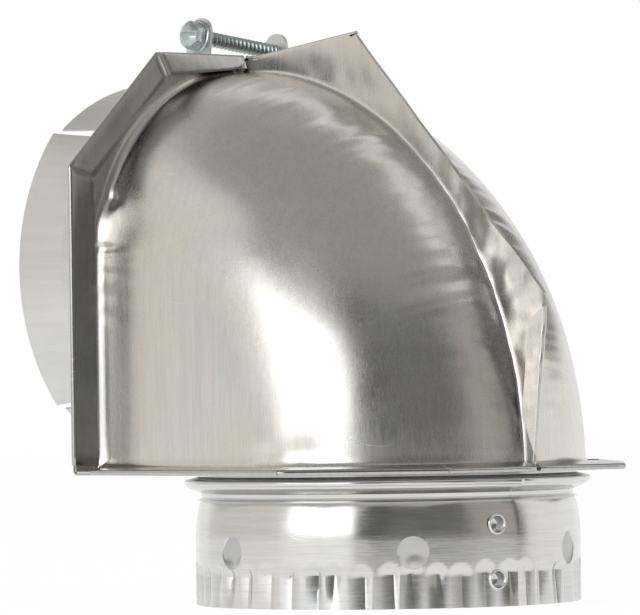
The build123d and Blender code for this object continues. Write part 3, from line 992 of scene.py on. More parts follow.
@dataclass
class PortPlate:
    """One sheet bent square at the throat.

    It holds both round ports, and its edges are hemmed over the pressings' flanges.
    """

    elbow: Elbow
    port_radius: float = 50.2
    bend_radius: float = 1.5
    bend_steps: int = 6
    arc_steps: int = 8
    leaf_steps: int = 4
    edge_step: float = 2.4
    seam_gap: float = 0.75
    mitre_gap: float = 0.06
    hem_starts: dict[Port, float] = field(default_factory=lambda: {Port.INLET: 2.6, Port.OUTLET: 8.0})
    side_hems: dict[Port, Point] = field(  # (width, lift) of a leaf
        default_factory=lambda: {Port.INLET: (7.7, 0.6), Port.OUTLET: (7.2, 0.6)})
    top_hem: Point = (6.5, 0.9)
    seam_hem: Point = (3.7, 1.1)
    hem_corner: float = 45.0
    edge_round: float = 0.1
    edge_spare: float = 0.05  # kept free inside the plate's width
    ripple_depth: float = 0.12
    ripple_size: float = 17.0

    @property
    def inset(self) -> float:
        """From the plate's outline to where its folds begin."""
        return self.elbow.fold_radius

    def corners(self, port: Port) -> list[Point]:
        """The flat's corners on the +y side as (across, from the throat), from the throat to the seam."""
        elbow = self.elbow
        side, top = elbow.plate_half_width - self.inset, elbow.plate_height - self.inset
        slope = elbow.plate_half_width + elbow.plate_height - elbow.plate_corner - self.inset * math.sqrt(2)
        return [(side, self.bend_radius), (side, self.hem_starts[port]), (side, slope - side),
                (slope - top, top), (self.seam_gap, top)]

    @staticmethod
    def at(port: Port, across: float, reach: float, lift: float) -> Vector:
        """A place on a leg: across, from the throat, and above its outer face."""
        return Vector((lift, across, reach)) if port is Port.INLET else Vector((reach, across, lift))

    def build(self, material: bpy.types.Material, body: str, slot: str) -> bpy.types.Object:
        """Cuts, bends and hems the plate.

        Args:
            material: its finish.
            body: the body that it rides on.
            slot: the record's material slot.

        Returns:
            The finished piece.
        """
        bench = self._leg(Port.INLET)
        self._bend(bench)
        bench.join(self._leg(Port.OUTLET))
        with bench.editing():
            bpy.ops.mesh.select_all(action="SELECT")
            bpy.ops.mesh.remove_doubles(threshold=0.01)
        middle = self.elbow.sheet / 2 + TOUCH
        bench.face_outwards(lambda centre, normal: -normal.x if centre.x < middle else -normal.z
                            if centre.z < middle else 0.0)
        bench.displace(self._ripple)
        bench.modify("SOLIDIFY", thickness=self.elbow.sheet, offset=0.0)
        bench.modify("BEVEL", width=self.edge_round, segments=2, limit_method="ANGLE",
                     angle_limit=math.radians(60.0))
        bench.place(self.elbow.throat)
        return bench.finish(material, body, slot, ["port_plate"])

    def _ripple(self, place: Vector, normal: Vector) -> Vector:
        """A slow ripple in the sheet that stays within the plate's width."""
        move = normal * (self.ripple_depth * noise.noise(place / self.ripple_size))
        limit = self.elbow.plate_half_width - self.elbow.sheet / 2 - self.edge_spare
        move.y = max(-limit, min(limit, place.y + move.y)) - place.y
        return move

    def _leg(self, port: Port) -> Bench:
        """One leg: its outline drawn, extruded in to the port, and its edges hemmed.

        Args:
            port: the port that the leg holds.

        Returns:
            The bench with the leg.
        """
        right, flat = self.corners(port), self.elbow.sheet / 2
        outline = right + [(-across, reach) for across, reach in reversed(right)] + right[:1]
        places = [self.at(port, *p, flat) for p in divided(outline, self.edge_step)]
        bench = Bench.line("port_plate_sheet", places)
        middle = self.at(port, 0.0, self.elbow.port_offset, flat)
        with bench.editing():
            bpy.ops.mesh.select_all(action="SELECT")
            bpy.ops.mesh.remove_doubles(threshold=0.01)
            bpy.ops.mesh.select_all(action="SELECT")
            bpy.ops.mesh.extrude_region_move()
            bench.move_selected(lambda p: middle + (p - middle).normalized() * self.port_radius - p)
        mitre = math.tan(math.radians(self.hem_corner / 2))
        side, top, seam = self.side_hems[port], self.top_hem, self.seam_hem
        hems = [(right[1], right[2], side, side, (0.0, mitre)),
                (right[2], right[3], side, top, (mitre, mitre)),
                (right[3], right[4], top, seam, (mitre, 0.0))]
        for hand in (1.0, -1.0):
            for start, end, first, last, mitres in hems:
                ends = [self.at(port, hand * across, reach, flat) for across, reach in (start, end)]
                self._hem(bench, port, ends, (first, last), mitres)
        return bench

    def _hem(self, bench: Bench, port: Port, ends: Sequence[Vector], leaves: Sequence[Point],
             mitres: Point) -> None:
        """Folds one straight edge over, its leaf tapering from one end to the other.

        Args:
            bench: the leg.
            port: the port that the leg holds.
            ends: the edge's ends.
            leaves: (width, lift) of the leaf at each end.
            mitres: how far each end draws in for each millimetre of the leaf's depth.
        """
        start, length = ends[0], (ends[1] - ends[0]).length
        along, up = (ends[1] - ends[0]) / length, self.at(port, 0.0, 0.0, 1.0)
        inward = up.cross(along)
        if inward.dot(self.at(port, 0.0, self.elbow.port_offset, 0.0) - start) < 0:
            inward = -inward
        flat = self.elbow.sheet / 2
        radius = self.inset - flat

        def draw_in(depth: float) -> tuple[float, float]:
            """Where the leaf begins along the edge at a depth, and how long it is."""
            first, last = (depth * mitre + (self.mitre_gap if mitre else 0.0) for mitre in mitres)
            return first, length - first - last

        def station(share: float, step: int) -> Point:
            """(depth, height) of one step of the fold, at a share of the edge's length."""
            width, lift = (a + (b - a) * share for a, b in zip(*leaves))
            if step <= self.arc_steps:
                turn = math.pi * step / self.arc_steps
                return -radius * math.sin(turn), radius * (1 - math.cos(turn))
            part = (step - self.arc_steps) / self.leaf_steps
            return (width - self.inset) * part, 2 * radius + lift * part

        def fold(place: Vector, step: int) -> Vector:
            """A vertex's move from one step of the fold to the next."""
            run, depth = (place - start).dot(along), (place - start).dot(inward)
            first, span = draw_in(depth) if step > 1 else (0.0, length)
            share = (run - first) / span
            depth_next, height = station(share, step)
            first, span = draw_in(depth_next)
            return (along * (first + share * span - run) + inward * (depth_next - depth)
                    + up * (height - (place - start).dot(up)))

        def on_edge(place: Vector) -> bool:
            """True on this edge of the flat."""
            run, depth, lift = ((place - start).dot(axis) for axis in (along, inward, up))
            return -TOUCH < run < length + TOUCH and abs(depth) < TOUCH and abs(lift) < TOUCH

        with bench.editing():
            bench.pick(on_edge)
            for step in range(1, self.arc_steps + self.leaf_steps + 1):
                bpy.ops.mesh.extrude_region_move()
                bench.move_selected(lambda place, step=step: fold(place, step))

    def _bend(self, bench: Bench) -> None:
        """Bends the sheet square at the throat.

        Args:
            bench: the inlet leg.
        """
        centre, flat = self.bend_radius, self.elbow.sheet / 2
        radius = centre - flat
        with bench.editing():
            bench.pick(lambda p: abs(p.z - centre) < TOUCH and abs(p.x - flat) < TOUCH)
            for step in range(1, self.bend_steps + 1):
                turn = math.pi / 2 * step / self.bend_steps
                bpy.ops.mesh.extrude_region_move()
                bench.move_selected(lambda p, turn=turn: Vector((centre - radius * math.cos(turn), p.y,
                                                                 centre - radius * math.sin(turn))) - p)


@dataclass(frozen=True)
class Crimp:
    """One groove of the spigot's crimped end: bearing, half-width, depth, height, and where its valley lies.

    The groove loses a share of its depth, its lean, from its top to the open end.
    """

    bearing: float
    half_width: float
    depth: float
    height: float
    skew: float
    lean: float
    run_out: float = 2.1  # height over which its top fades
    top_width: float = 0.25  # share of its width at its top

    def at(self, bearing: float, height: float) -> float:
        """How deep the groove is at a bearing and a height."""
        rise = (self.height - height) / self.run_out
        if rise <= 0.0:
            return 0.0
        opening = min(1.0, self.top_width + (1.0 - self.top_width) * rise)
        across = wrapped(bearing - self.bearing) / (self.half_width * opening)
        span = 1.0 - self.skew if across > self.skew else 1.0 + self.skew
        flank = 1.0 - abs(across - self.skew) / span
        kept = 1.0 - self.lean * (1.0 - height / self.height)
        return self.depth * kept * eased(rise) * max(0.0, flank)


@dataclass
class Sleeve:
    """A rolled sleeve stood on its open end.

    It has a plain wall, a neck, a bead and the lip turned over inside its port. The neck's corners are
    (radius, height, rounding).
    """

    elbow: Elbow
    wall_radius: float
    wall_height: float
    neck: Sequence[tuple[float, float, float]]
    foot: float = 0.0
    foot_step: float = 0.8
    turns: int = 576
    lip_radius: float = 52.15
    lip_height: float = 35.55
    neck_step: float = 1.3
    neck_arc_steps: int = 4
    punch_top: float = 31.0  # no opening reaches higher
    punch_side: float = 20.0  # or further from its middle, round the wall
    punch_pull: float = 0.55  # edges this near to an outline are drawn onto it
    punch_probe: float = 0.05

    def section(self) -> list[Point]:
        """The sheet's middle line from the open end to the lip.

        Returns:
            Points as (radius, height).
        """
        wall = divided([(self.wall_radius, self.foot), (self.wall_radius, self.wall_height)], self.foot_step)
        bends = [(radius, height) for radius, height, _ in self.neck]
        corners = [wall[-1], *bends, (self.lip_radius, self.lip_height)]
        line = rounded_line(corners, [rounding for _, _, rounding in self.neck], self.neck_arc_steps)
        return wall[:-1] + divided(line, self.neck_step)

    def draw(self, name: str) -> Bench:
        """Draws the section and turns it full round.

        Args:
            name: the piece's name.

        Returns:
            The bench with the turned sheet.
        """
        bench = Bench.line(name, [(r, 0.0, z) for r, z in self.section()])
        bench.modify("SCREW", axis="Z", angle=math.tau, screw_offset=0.0, steps=self.turns,
                     render_steps=self.turns, use_merge_vertices=True, merge_threshold=0.005)
        bench.face_outwards(lambda centre, normal: normal.dot(Vector((centre.x, centre.y, 0.0)))
                            if centre.z < self.wall_height else 0.0)
        return bench

    @staticmethod
    def bearing(place: Vector) -> float:
        """Bearing about the sleeve's axis, in degrees."""
        return math.degrees(math.atan2(place.y, place.x))

    def across(self, place: Vector, bearing: float) -> float:
        """Distance round the wall from a bearing, in millimetres."""
        return math.radians(wrapped(self.bearing(place) - bearing)) * self.wall_radius

    def punch(self, bench: Bench, inside: Callable[[float, float], float], bearing: float) -> None:
        """Cuts an opening and draws its ragged edge onto the true outline.

        Args:
            bench: the spun sheet.
            inside: takes (distance round the wall, height) and gives the signed distance, negative inside.
            bearing: the opening's middle.
        """
        def gap(place: Vector) -> float:
            """Signed distance from the opening's outline."""
            return inside(self.across(place, bearing), place.z)

        def near(place: Vector) -> bool:
            """True on the side of the sleeve that holds the opening, below its neck."""
            return place.z < self.punch_top and abs(self.across(place, bearing)) < self.punch_side

        with bench.editing("FACE"):
            bench.pick_faces(lambda f: near(f.calc_center_median()) and gap(f.calc_center_median()) < 0.0)
            bpy.ops.mesh.delete(type="FACE")
        step = self.punch_probe
        for vert in bench.obj.data.vertices:
            if not near(vert.co) or abs(gap(vert.co)) > self.punch_pull:
                continue
            distance, height = self.across(vert.co, bearing), vert.co.z
            here = inside(distance, height)
            slope = Vector((inside(distance + step, height) - here,
                            inside(distance, height + step) - here)) / step
            if slope.length < 0.1:
                continue
            move = slope.normalized() * -here
            turn = math.radians(bearing) + (distance + move.x) / self.wall_radius
            radius = math.hypot(vert.co.x, vert.co.y)
            vert.co = (radius * math.cos(turn), radius * math.sin(turn), max(self.foot, height + move.y))


@dataclass
class Spigot(Sleeve):
    """The crimped outlet spigot with its lap, punched holes and tapered shoulder."""

    taper_start: float = 17.5
    taper_depth: float = 1.5
    crimp_count: int = 48
    crimp_height: float = 11.3
    crimp_depth: float = 1.45
    crimp_limit: float = 13.5  # no groove reaches higher
    crimp_drift: float = 0.1  # of the pitch
    crimp_depths: Point = (0.65, 1.1)  # shares of the depth
    crimp_rise: float = 0.5
    crimp_widths: Point = (0.38, 0.52)  # half-widths, as shares of the pitch
    crimp_skew: float = 0.5
    crimp_leans: Point = (0.45, 0.9)
    hole_count: int = 6
    hole_radius: float = 4.2
    hole_height: float = 14.4
    hole_bearing: float = -35.5
    lap_bearing: float = -2.1
    lap_flat: float = 15.0
    lap_spring: float = 0.8
    rivet_inset: float = 7.4
    rivet_heights: Point = (7.0, 21.2)
    rivet_bore: float = 2.15
    out_of_round: float = 0.22
    wobble_sizes: Point = (22.0, 60.0)  # round the wall and up it
    free_below: Point = (33.0, 2.5)  # the bead holds the sheet round above this, over a length
    seed: int = 5

    def crimps(self) -> list[Crimp]:
        """The grooves, each a little different, with a flat left under the lower rivet."""
        draw = random.Random(self.seed)
        pitch = 360.0 / self.crimp_count
        rivet = self.lap_bearing - self.rivet_inset
        made = []
        for index in range(self.crimp_count):
            drift = draw.uniform(-self.crimp_drift, self.crimp_drift)
            bearing = rivet + (index + 0.5) * pitch + drift * pitch
            depth = self.crimp_depth * draw.uniform(*self.crimp_depths)
            height = self.crimp_height + draw.uniform(-self.crimp_rise, self.crimp_rise)
            half_width = pitch * draw.uniform(*self.crimp_widths)
            skew = draw.uniform(-self.crimp_skew, self.crimp_skew)
            lean = draw.uniform(*self.crimp_leans)
            made.append(Crimp(bearing, half_width, depth, height, skew, lean))
        return [c for c in made if abs(wrapped(c.bearing - rivet)) - c.half_width > 0.0]

    @staticmethod
    def _round_hole(level: float, radius: float) -> Callable[[float, float], float]:
        """Signed distance from the edge of a round hole at a level."""
        return lambda along, height: math.hypot(along, height - level) - radius

    def build(self, material: bpy.types.Material, body: str, slot: str) -> bpy.types.Object:
        """Rolls, crimps and punches the spigot.

        Args:
            material: its finish.
            body: the body that it rides on.
            slot: the record's material slot.

        Returns:
            The finished piece.
        """
        bench = self.draw("outlet_spigot_sheet")
        for index in range(self.hole_count):
            self.punch(bench, self._round_hole(self.hole_height, self.hole_radius),
                       self.hole_bearing + index * 360.0 / self.hole_count)
        for level in self.rivet_heights:
            self.punch(bench, self._round_hole(level, self.rivet_bore), self.lap_bearing - self.rivet_inset)
        crimps = self.crimps()
        flat = math.degrees(self.lap_flat / self.wall_radius)
        (held_from, fade), (wide, tall) = self.free_below, self.wobble_sizes

        def shift(place: Vector, _normal: Vector) -> Vector:
            """The crimps, the tapered shoulder, the lap's flat end and a little want of roundness."""
            bearing = self.bearing(place)
            outward = Vector((place.x, place.y, 0.0)).normalized()
            depth = 0.0
            if place.z < self.crimp_limit:
                depth = max((c.at(bearing, place.z) for c in crimps), default=0.0)
            if self.taper_start < place.z <= self.wall_height + 0.01:
                share = (place.z - self.taper_start) / (self.wall_height - self.taper_start)
                depth += self.taper_depth * share ** 2
            free = eased((held_from - place.z) / fade)
            before = (self.lap_bearing - bearing) % 360.0
            lap = self.lap_spring * (1.0 - before / flat) ** 2 * free if before < flat else 0.0
            wobble = self.out_of_round * noise.noise(
                Vector((place.x / wide, place.y / wide, place.z / tall)))
            return outward * (lap + wobble * free - depth)

        bench.displace(shift)
        bench.modify("SOLIDIFY", thickness=self.elbow.sheet, offset=0.0)
        bench.mark_inside()
        bench.place(Matrix.Identity(4))
        return bench.finish(material, body, slot, ["outlet_spigot"], smooth_angle=50.0)


@dataclass
class InletSleeve(Sleeve):
    """The slit sleeve that slips over the dryer's pipe."""

    slit_count: int = 4
    slit_width: float = 2.7
    slit_top: float = 29.6
    spring: float = 2.6
    spring_height: float = 20.0
    clamped_share: float = 0.35  # of the spring, for the top and bottom fingers

    def build(self, material: bpy.types.Material, body: str, slot: str) -> bpy.types.Object:
        """Rolls and slits the sleeve, and lets its fingers spring.

        Args:
            material: its finish.
            body: the body that it rides on.
            slot: the record's material slot.

        Returns:
            The finished piece.
        """
        bench = self.draw("inlet_sleeve_sheet")
        pitch = 360.0 / self.slit_count
        half = self.slit_width / 2
        for index in range(self.slit_count):
            self.punch(bench, lambda along, height: max(abs(along) - half, height - self.slit_top),
                       pitch / 2 + index * pitch)

        def shift(place: Vector, _normal: Vector) -> Vector:
            """A finger flattens towards its free end, so its corners stand out."""
            outward = Vector((place.x, place.y, 0.0)).normalized()
            finger = round(self.bearing(place) / pitch) * pitch
            aside = abs(wrapped(self.bearing(place) - finger)) / (pitch / 2)
            free = max(0.0, 1.0 - place.z / self.spring_height)
            hold = 1.0 if abs(finger) % 180.0 > 1.0 else self.clamped_share
            return outward * (self.spring * aside ** 2 * free ** 1.5 * hold)

        bench.displace(shift)
        bench.modify("SOLIDIFY", thickness=self.elbow.sheet, offset=0.0)
        bench.mark_inside()
        reach, offset = self.elbow.sleeve_reach, self.elbow.port_offset
        mouth = Matrix.Translation((-offset - reach, 0.0, reach + offset))
        bench.place(mouth @ Matrix.Rotation(math.pi / 2, 4, "Y"))
        return bench.finish(material, body, slot, ["inlet_sleeve"])


# Neck corners as (radius, height, rounding)
SPIGOT_NECK = ((49.05, 27.8, 0.3), (48.6, 28.4, 0.25), (48.75, 29.6, 0.5), (52.9, 31.3, 0.3),
               (52.6, 31.6, 0.1), (53.35, 31.95, 0.15), (53.35, 32.7, 0.3), (49.65, 33.55, 0.4),
               (49.65, 35.55, 0.5))
INLET_NECK = ((49.15, 30.5, 0.9), (53.35, 32.2, 0.4), (53.35, 33.2, 0.3), (49.65, 33.6, 0.4),
              (49.65, 35.55, 0.5))


@dataclass
class Rivets:
    """The tubular rivets of the spigot's lap: a rolled rim round a deep bore."""

    seat_radius: float = 51.1
    bearing: float = -9.5
    heights: Point = (7.0, 21.2)
    bore: float = 1.9
    shank: float = 2.1
    rim: float = 2.7
    crown: float = 0.4
    depth: float = 3.0
    base: float = 0.25  # sheet left under the bore
    axis_gap: float = 0.001
    facets: int = 44

    def build(self, material: bpy.types.Material, body: str, slot: str) -> bpy.types.Object:
        """Turns one rivet for each height and sets it in the lap.

        Args:
            material: its finish.
            body: the body that it rides on.
            slot: the record's material slot.

        Returns:
            The finished piece.
        """
        benches = [self._turned(height) for height in self.heights]
        for other in benches[1:]:
            benches[0].join(other)
        return benches[0].finish(material, body, slot, ["spigot_rivets"], smooth_angle=50.0)

    def _turned(self, height: float) -> Bench:
        """One rivet, spun from its section and set at a height.

        Args:
            height: above the spigot's open end.

        Returns:
            The bench with the rivet.
        """
        crown, rim = self.crown, self.rim
        floor = self.base - self.depth
        bore = [(self.axis_gap, floor), (self.bore - 0.1, floor), (self.bore, -0.1)]
        head = [(self.bore + 0.28, crown), (rim - 0.25, crown), (rim, 0.05), (rim, -0.06)]
        shank = [(self.shank, -0.06), (self.shank, -self.depth), (self.axis_gap, -self.depth)]
        line = rounded_line(bore + head + shank, [0.4, 0.2, 0.16, 0.16, 0.1, 0.02, 0.02, 0.1])
        bench = Bench.line("spigot_rivet_rims", [(r, 0.0, z) for r, z in line])
        bench.spin(self.facets, 360.0, (0.0, 0.0, 1.0))
        bench.face_outwards(lambda centre, normal: normal.z if centre.z > crown * 0.8 else 0.0)
        lap = Matrix.Rotation(math.radians(self.bearing), 4, "Z")
        seat = Matrix.Translation((self.seat_radius, 0.0, height))
        bench.place(lap @ seat @ Matrix.Rotation(math.pi / 2, 4, "Y"))
        return bench


@dataclass
class ClampScrew:
    """The clamp's screw: slotted domed hex head, washer face and coarse thread."""

    elbow: Elbow
    band_middle: float = -66.0
    height: float = 61.7
    turn: float = 7.0
    seat: float = -14.26
    across_flats: float = 7.0
    head_height: float = 4.6
    washer_radius: float = 4.6
    washer_height: float = 1.1
    slot_width: float = 1.2
    slot_depth: float = 1.3
    crest: float = 2.1
    root: float = 1.4
    pitch: float = 1.45
    length: float = 36.0
    tip: float = 4.0
    core_in_tip: float = 0.6  # share of the tip that the core leaves free
    flank: tuple[float, float, float] = (0.35, 0.62, 0.72)  # shares of the pitch: root, crest, crest's end
    dome_share: float = 0.82  # of the width across flats
    head_facets: int = 48
    thread_facets: int = 28

    def build(self, material: bpy.types.Material, body: str, slot: str) -> bpy.types.Object:
        """Models the head and the thread, with the head's underside at height 0.

        Args:
            material: its finish.
            body: the body that it rides on.
            slot: the record's material slot.

        Returns:
            The finished piece.
        """
        screw = self._head()
        screw.join(self._thread())
        inlet_height = self.elbow.sleeve_reach + self.elbow.port_offset
        clamp = Matrix.Translation((self.band_middle, 0.0, inlet_height)) @ Matrix.Rotation(
            math.radians(-self.turn), 4, "X")
        axis = Matrix.Translation((0.0, self.seat, self.height)) @ Matrix.Rotation(math.pi / 2, 4, "X")
        screw.place(clamp @ axis)
        return screw.finish(material, body, slot, ["clamp_screw"], smooth_angle=30.0)

    def _head(self) -> Bench:
        """A hex prism on its washer face, its top turned to a dome and slotted.

        Returns:
            The bench with the head.
        """
        bench = Bench.primitive("clamp_screw_threaded", bpy.ops.mesh.primitive_cylinder_add,
                                vertices=self.head_facets, radius=self.washer_radius,
                                depth=self.washer_height,
                                location=(0.0, 0.0, self.washer_height / 2))
        with bench.editing("FACE"):
            bench.pick_faces(lambda f: f.normal.z > 0.9)
            bpy.ops.mesh.inset(thickness=0.35)
            bpy.ops.transform.translate(value=(0.0, 0.0, 0.25))
            bpy.ops.mesh.inset(thickness=0.2)
        hexagon = Bench.primitive("hexagon", bpy.ops.mesh.primitive_cylinder_add, vertices=6,
                                  radius=self.across_flats / math.sqrt(3), depth=self.head_height,
                                  location=(0.0, 0.0, self.washer_height + self.head_height / 2))
        hexagon.modify("BEVEL", width=0.28, segments=3, limit_method="ANGLE")
        top = self.washer_height + self.head_height
        dome_radius = self.across_flats * self.dome_share
        dome = Bench.primitive("dome", bpy.ops.mesh.primitive_uv_sphere_add, segments=self.head_facets,
                               ring_count=self.head_facets // 2, radius=dome_radius,
                               location=(0.0, 0.0, top - dome_radius))
        hexagon.modify("BOOLEAN", operation="INTERSECT", object=dome.obj, solver="EXACT")
        bpy.data.objects.remove(dome.obj)
        slot = Bench.primitive("slot", bpy.ops.mesh.primitive_cube_add, size=1.0, location=(0.0, 0.0, top))
        slot.obj.scale = (2.0 * self.across_flats, self.slot_width, 2.0 * self.slot_depth)
        bpy.ops.object.transform_apply(location=False, rotation=False, scale=True)
        hexagon.modify("BOOLEAN", operation="DIFFERENCE", object=slot.obj, solver="EXACT")
        bpy.data.objects.remove(slot.obj)
        bench.join(hexagon)
        return bench

    def _thread(self) -> Bench:
        """The shank: one pitch of the thread's flank, screwed down to the tip, and tapered there.

        Returns:
            The bench with the thread.
        """
        pitch, root, crest = self.pitch, self.root, self.crest
        foot, rise, land = (pitch * share for share in self.flank)
        flank = [(root, 0.0), (root, foot), (crest, rise), (crest, land), (root, pitch)]
        bench = Bench.line("thread", [(r, 0.0, z - self.length) for r, z in flank])
        count = int(self.length / pitch) - 1
        bench.modify("SCREW", axis="Z", angle=math.tau, screw_offset=pitch, iterations=count,
                     steps=self.thread_facets, render_steps=self.thread_facets, use_merge_vertices=True,
                     merge_threshold=0.01)

        def taper(place: Vector, _normal: Vector) -> Vector:
            """Draws the end in to a point."""
            share = (place.z + self.length) / self.tip
            keep = 0.18 + 0.82 * eased(share) if share < 1.0 else 1.0
            return Vector((place.x, place.y, 0.0)) * (keep - 1.0)

        bench.displace(taper)
        bench.face_outwards(lambda centre, normal: normal.dot(Vector((centre.x, centre.y, 0.0))))
        depth = self.length - self.tip * self.core_in_tip
        core = Bench.primitive("core", bpy.ops.mesh.primitive_cylinder_add, vertices=self.thread_facets,
                               radius=root, depth=depth, location=(0.0, 0.0, -depth / 2))
        bench.join(core)
        return bench


# Scene


@dataclass(frozen=True)
class Studio:
    """Camera, floor and light, in metres and degrees."""

    target: tuple[float, float, float] = (0.0, 0.0, 0.0845)
    azimuth: float = 47.3
    elevation: float = -1.15
    distance: float = 1.424
    roll: float = -0.82
    lens: float = 303.0
    aim_right: float = -0.0171
    aim_up: float = -0.0065
    clip_end: float = 50.0
    floor_size: float = 6.0
    floor_tone: Tone = (0.86, 0.86, 0.86)
    floor_glow: float = 1.09
    floor_cover: float = 0.85  # share of the glow that the camera and metal see
    room_light: float = 0.5
    card_steps: int = 12
    ground_steps: int = 16

    def camera(self) -> None:
        """Makes the camera at the photograph's viewing angle."""
        a, e = math.radians(self.azimuth), math.radians(self.elevation)
        back = Vector((math.sin(a) * math.cos(e), -math.cos(a) * math.cos(e), math.sin(e)))
        right = Vector((math.cos(a), math.sin(a), 0.0))
        up = back.cross(right)
        place = Vector(self.target) + back * self.distance
        aim = Vector(self.target) + right * self.aim_right + up * self.aim_up
        data = bpy.data.cameras.new("camera")
        data.lens = self.lens
        data.clip_end = self.clip_end
        camera = bpy.data.objects.new("camera", data)
        bpy.context.scene.collection.objects.link(camera)
        turn = (aim - place).to_track_quat("-Z", "Y").to_matrix().to_4x4()
        roll = Matrix.Rotation(math.radians(self.roll), 4, "Z")
        camera.matrix_world = Matrix.Translation(place) @ turn @ roll
        bpy.context.scene.camera = camera

    def floor(self) -> None:
        """Makes the pale floor: white to the camera and to metal, and it keeps the object's shadow."""
        bench = Bench.primitive("floor", bpy.ops.mesh.primitive_plane_add, size=self.floor_size)
        material = bpy.data.materials.new("pale_floor")
        graph = Graph(material)
        diffuse = graph.node("ShaderNodeBsdfDiffuse", inputs={"Color": (*self.floor_tone, 1.0)})
        white = graph.node("ShaderNodeEmission", inputs={"Color": WHITE, "Strength": self.floor_glow})
        factor = graph.seen_plainly() * self.floor_cover
        surface = graph.node("ShaderNodeMixShader", inputs={0: factor, 1: diffuse, 2: white})
        graph.node("ShaderNodeOutputMaterial", inputs={"Surface": surface})
        bench.obj.data.materials.append(material)

    def world(self) -> None:
        """Lights the room softly, with a white backdrop for the camera and for metal."""
        world = bpy.data.worlds.new("studio")
        bpy.context.scene.world = world
        graph = Graph(world)
        strength = graph.seen_plainly() * (1.0 - self.room_light) + self.room_light
        background = graph.node("ShaderNodeBackground", inputs={"Color": WHITE, "Strength": strength})
        graph.node("ShaderNodeOutputWorld", inputs={"Surface": background})

    def around(self, bearing: float, height: float, distance: float) -> Vector:
        """A place round the object, its bearing in degrees to the camera's right and the rest in metres."""
        a = math.radians(self.azimuth + bearing)
        return Vector((math.sin(a) * distance, -math.cos(a) * distance, height))

    def card(self, name: str, bearing: float, spread: float, low: float, high: float, tone: Tone,
             distance: float = 0.9) -> None:
        """Hangs a curved grey card that only reflections see.

        Args:
            name: the card's name.
            bearing: its middle, in degrees to the camera's right.
            spread: how wide it is, in degrees.
            low: its lower edge, in metres.
            high: its upper edge, in metres.
            tone: how it looks in a reflection.
            distance: from the spigot's axis, in metres.
        """
        steps = self.card_steps
        bearings = [bearing - spread / 2 + spread * n / steps for n in range(steps + 1)]
        bench = Bench.line(name, [self.around(each, low, distance) for each in bearings])
        with bench.editing():
            bpy.ops.mesh.select_all(action="SELECT")
            bpy.ops.mesh.extrude_region_move(TRANSFORM_OT_translate={"value": (0.0, 0.0, high - low)})
        self._only_mirrored(bench, tone)

    def ceiling(self, name: str, bearing: float, distance: float, height: float, size: float,
                tone: Tone) -> None:
        """Hangs a level grey card that only reflections see.

        Args:
            name: the card's name.
            bearing: its middle, in degrees to the camera's right.
            distance: its middle from the spigot's axis, in metres.
            height: metres above the floor.
            size: side, in metres.
            tone: how it looks in a reflection.
        """
        bench = Bench.primitive(name, bpy.ops.mesh.primitive_plane_add, size=size,
                                location=self.around(bearing, height, distance))
        self._only_mirrored(bench, tone)

    def strip(self, name: str, start: Point, end: Point, height: float, width: float, tone: Tone) -> None:
        """Hangs a long level strip that only reflections see.

        Args:
            name: the strip's name.
            start: one end's middle, in metres to the camera's right and away from the camera.
            end: the other end's middle.
            height: metres above the floor.
            width: in metres.
            tone: how it looks in a reflection.
        """
        first, last = (self.around(math.degrees(math.atan2(right, -away)), height, math.hypot(right, away))
                       for right, away in (start, end))
        aside = Vector((0.0, 0.0, 1.0)).cross(last - first).normalized() * width
        bench = Bench.line(name, [first - aside / 2, last - aside / 2])
        with bench.editing():
            bpy.ops.mesh.select_all(action="SELECT")
            bpy.ops.mesh.extrude_region_move(TRANSFORM_OT_translate={"value": aside})
        self._only_mirrored(bench, tone)

    def ground(self, name: str, bearing: float, spread: float, near: float, far: float, tone: Tone) -> None:
        """Lays a level sector just above the floor that only reflections see.

        Args:
            name: the card's name.
            bearing: its middle, in degrees to the camera's right.
            spread: how wide it is, in degrees.
            near: its inner radius about the spigot's axis, in metres.
            far: its outer radius, in metres.
            tone: how it looks in a reflection.
        """
        start = bearing + spread / 2
        bench = Bench.line(name, [self.around(start, MM, reach) for reach in (near, far)])
        bench.spin(self.ground_steps, spread, (0.0, 0.0, 1.0))
        self._only_mirrored(bench, tone)

    @staticmethod
    def _only_mirrored(bench: Bench, tone: Tone) -> None:
        """Dresses a card and hides it from all but mirror rays.

        Args:
            bench: the card.
            tone: how it looks in a reflection.
        """
        material = bpy.data.materials.new(bench.obj.name)
        graph = Graph(material)
        glow = graph.node("ShaderNodeEmission", inputs={"Color": (*tone, 1.0), "Strength": 1.0})
        graph.node("ShaderNodeOutputMaterial", inputs={"Surface": glow})
        bench.obj.data.materials.append(material)
        for ray in ("camera", "diffuse", "transmission", "shadow"):
            setattr(bench.obj, f"visible_{ray}", False)

    def lamp(self, name: str, bearing: float, height: float, distance: float, size: Point,
             power: float) -> None:
        """Hangs one soft box that looks at the object.

        Args:
            name: the lamp's name.
            bearing: degrees to the camera's right.
            height: metres.
            distance: metres from the spigot's axis.
            size: width and height, in metres.
            power: watts.
        """
        data = bpy.data.lights.new(name, "AREA")
        data.shape = "RECTANGLE"
        data.size, data.size_y = size
        data.energy = power
        lamp = bpy.data.objects.new(name, data)
        bpy.context.scene.collection.objects.link(lamp)
        place = self.around(bearing, height, distance)
        lamp.matrix_world = Matrix.Translation(place) @ (Vector(self.target) - place).to_track_quat(
            "-Z", "Y").to_matrix().to_4x4()

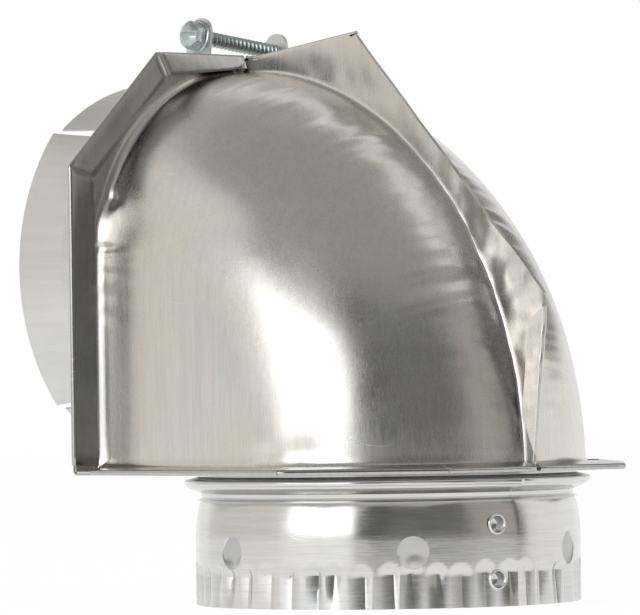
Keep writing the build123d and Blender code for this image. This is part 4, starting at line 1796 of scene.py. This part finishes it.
    def build(self) -> None:
        """Sets the scene."""
        bpy.context.scene.view_settings.view_transform = "Standard"
        self.camera()
        self.floor()
        self.world()
        self.lamp("key", bearing=-37.0, height=0.39, distance=1.1, size=(1.0, 0.58), power=2.6)
        self.card("left_wall", -99.0, 68.0, -0.3, 1.1, (0.78, 0.75, 0.71))
        self.card("camera_stand", -8.0, 22.0, -0.3, 0.9, (0.08, 0.082, 0.08))
        self.card("camera_side", 25.5, 45.0, -0.3, 0.9, (0.17, 0.172, 0.166))
        self.card("window_wall", 60.0, 24.0, -0.3, 0.9, (0.45, 0.43, 0.40))
        self.card("door", 79.5, 15.0, -0.3, 0.9, (0.15, 0.148, 0.14))
        self.card("right_wall", 104.0, 34.0, -0.3, 0.5, (0.96, 0.95, 0.93))
        self.card("right_back", 134.0, 36.0, 0.24, 1.0, (0.24, 0.235, 0.225))
        self.ceiling("front_ceiling", 0.0, 0.75, 1.0, 2.2, (0.36, 0.358, 0.35))
        self.ceiling("back_ceiling", 180.0, 0.85, 1.05, 2.4, (0.46, 0.45, 0.43))
        self.strip("strip_light", (-0.27, 0.97), (0.74, -0.27), 0.98, 0.22, (0.95, 0.94, 0.92))
        self.ground("dark_ground", 39.5, 95.0, 0.45, 0.9, (0.08, 0.08, 0.08))


def main() -> None:
    """Builds and dresses every piece."""
    logging.basicConfig(level=logging.INFO, format="%(name)s %(message)s")
    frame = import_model()
    elbow = Elbow()
    pressed, plate, rolled, sleeve, rivet, steel, zinc = (finish.material() for finish in (
        PRESSED, PLATE, ROLLED, SLEEVE, RIVET, CLAMP_ZINC, SCREW_ZINC))
    finishes = {"pressed_aluminium": pressed, "plate_aluminium": plate, "sleeve_aluminium": rolled,
                "rivet_aluminium": rivet, "clamp_steel": steel, "screw_zinc": zinc}
    slots = {row["node"]: row["material_slot"] for row in frame["record"]["subparts"]}
    for node, obj in frame["nodes"].items():
        for index in range(len(obj.material_slots)):
            obj.material_slots[index].material = finishes[slots[node]]
    near = Pressing("near_pressing_sheet", "near_pressing", elbow, dents=NEAR_DENTS, seed=3,
                    tab_ends=(4.0, 47.0))
    near.build(pressed, "bend", "pressed_aluminium")
    far = Pressing("far_pressing_sheet", "far_pressing", elbow, turned=True, seed=11)
    far.build(pressed, "bend", "pressed_aluminium")
    PortPlate(elbow).build(plate, "bend", "plate_aluminium")
    spigot = Spigot(elbow, wall_radius=50.55, wall_height=27.5, neck=SPIGOT_NECK, foot=0.05)
    spigot.build(rolled, "spigot", "sleeve_aluminium")
    Rivets().build(rivet, "spigot", "rivet_aluminium")
    inlet = InletSleeve(elbow, wall_radius=51.15, wall_height=28.4, neck=INLET_NECK, foot=0.3)
    inlet.build(sleeve, "inlet", "sleeve_aluminium")
    ClampScrew(elbow).build(zinc, "screw", "screw_zinc")
    Studio().build()


if __name__ == "__main__":
    main()
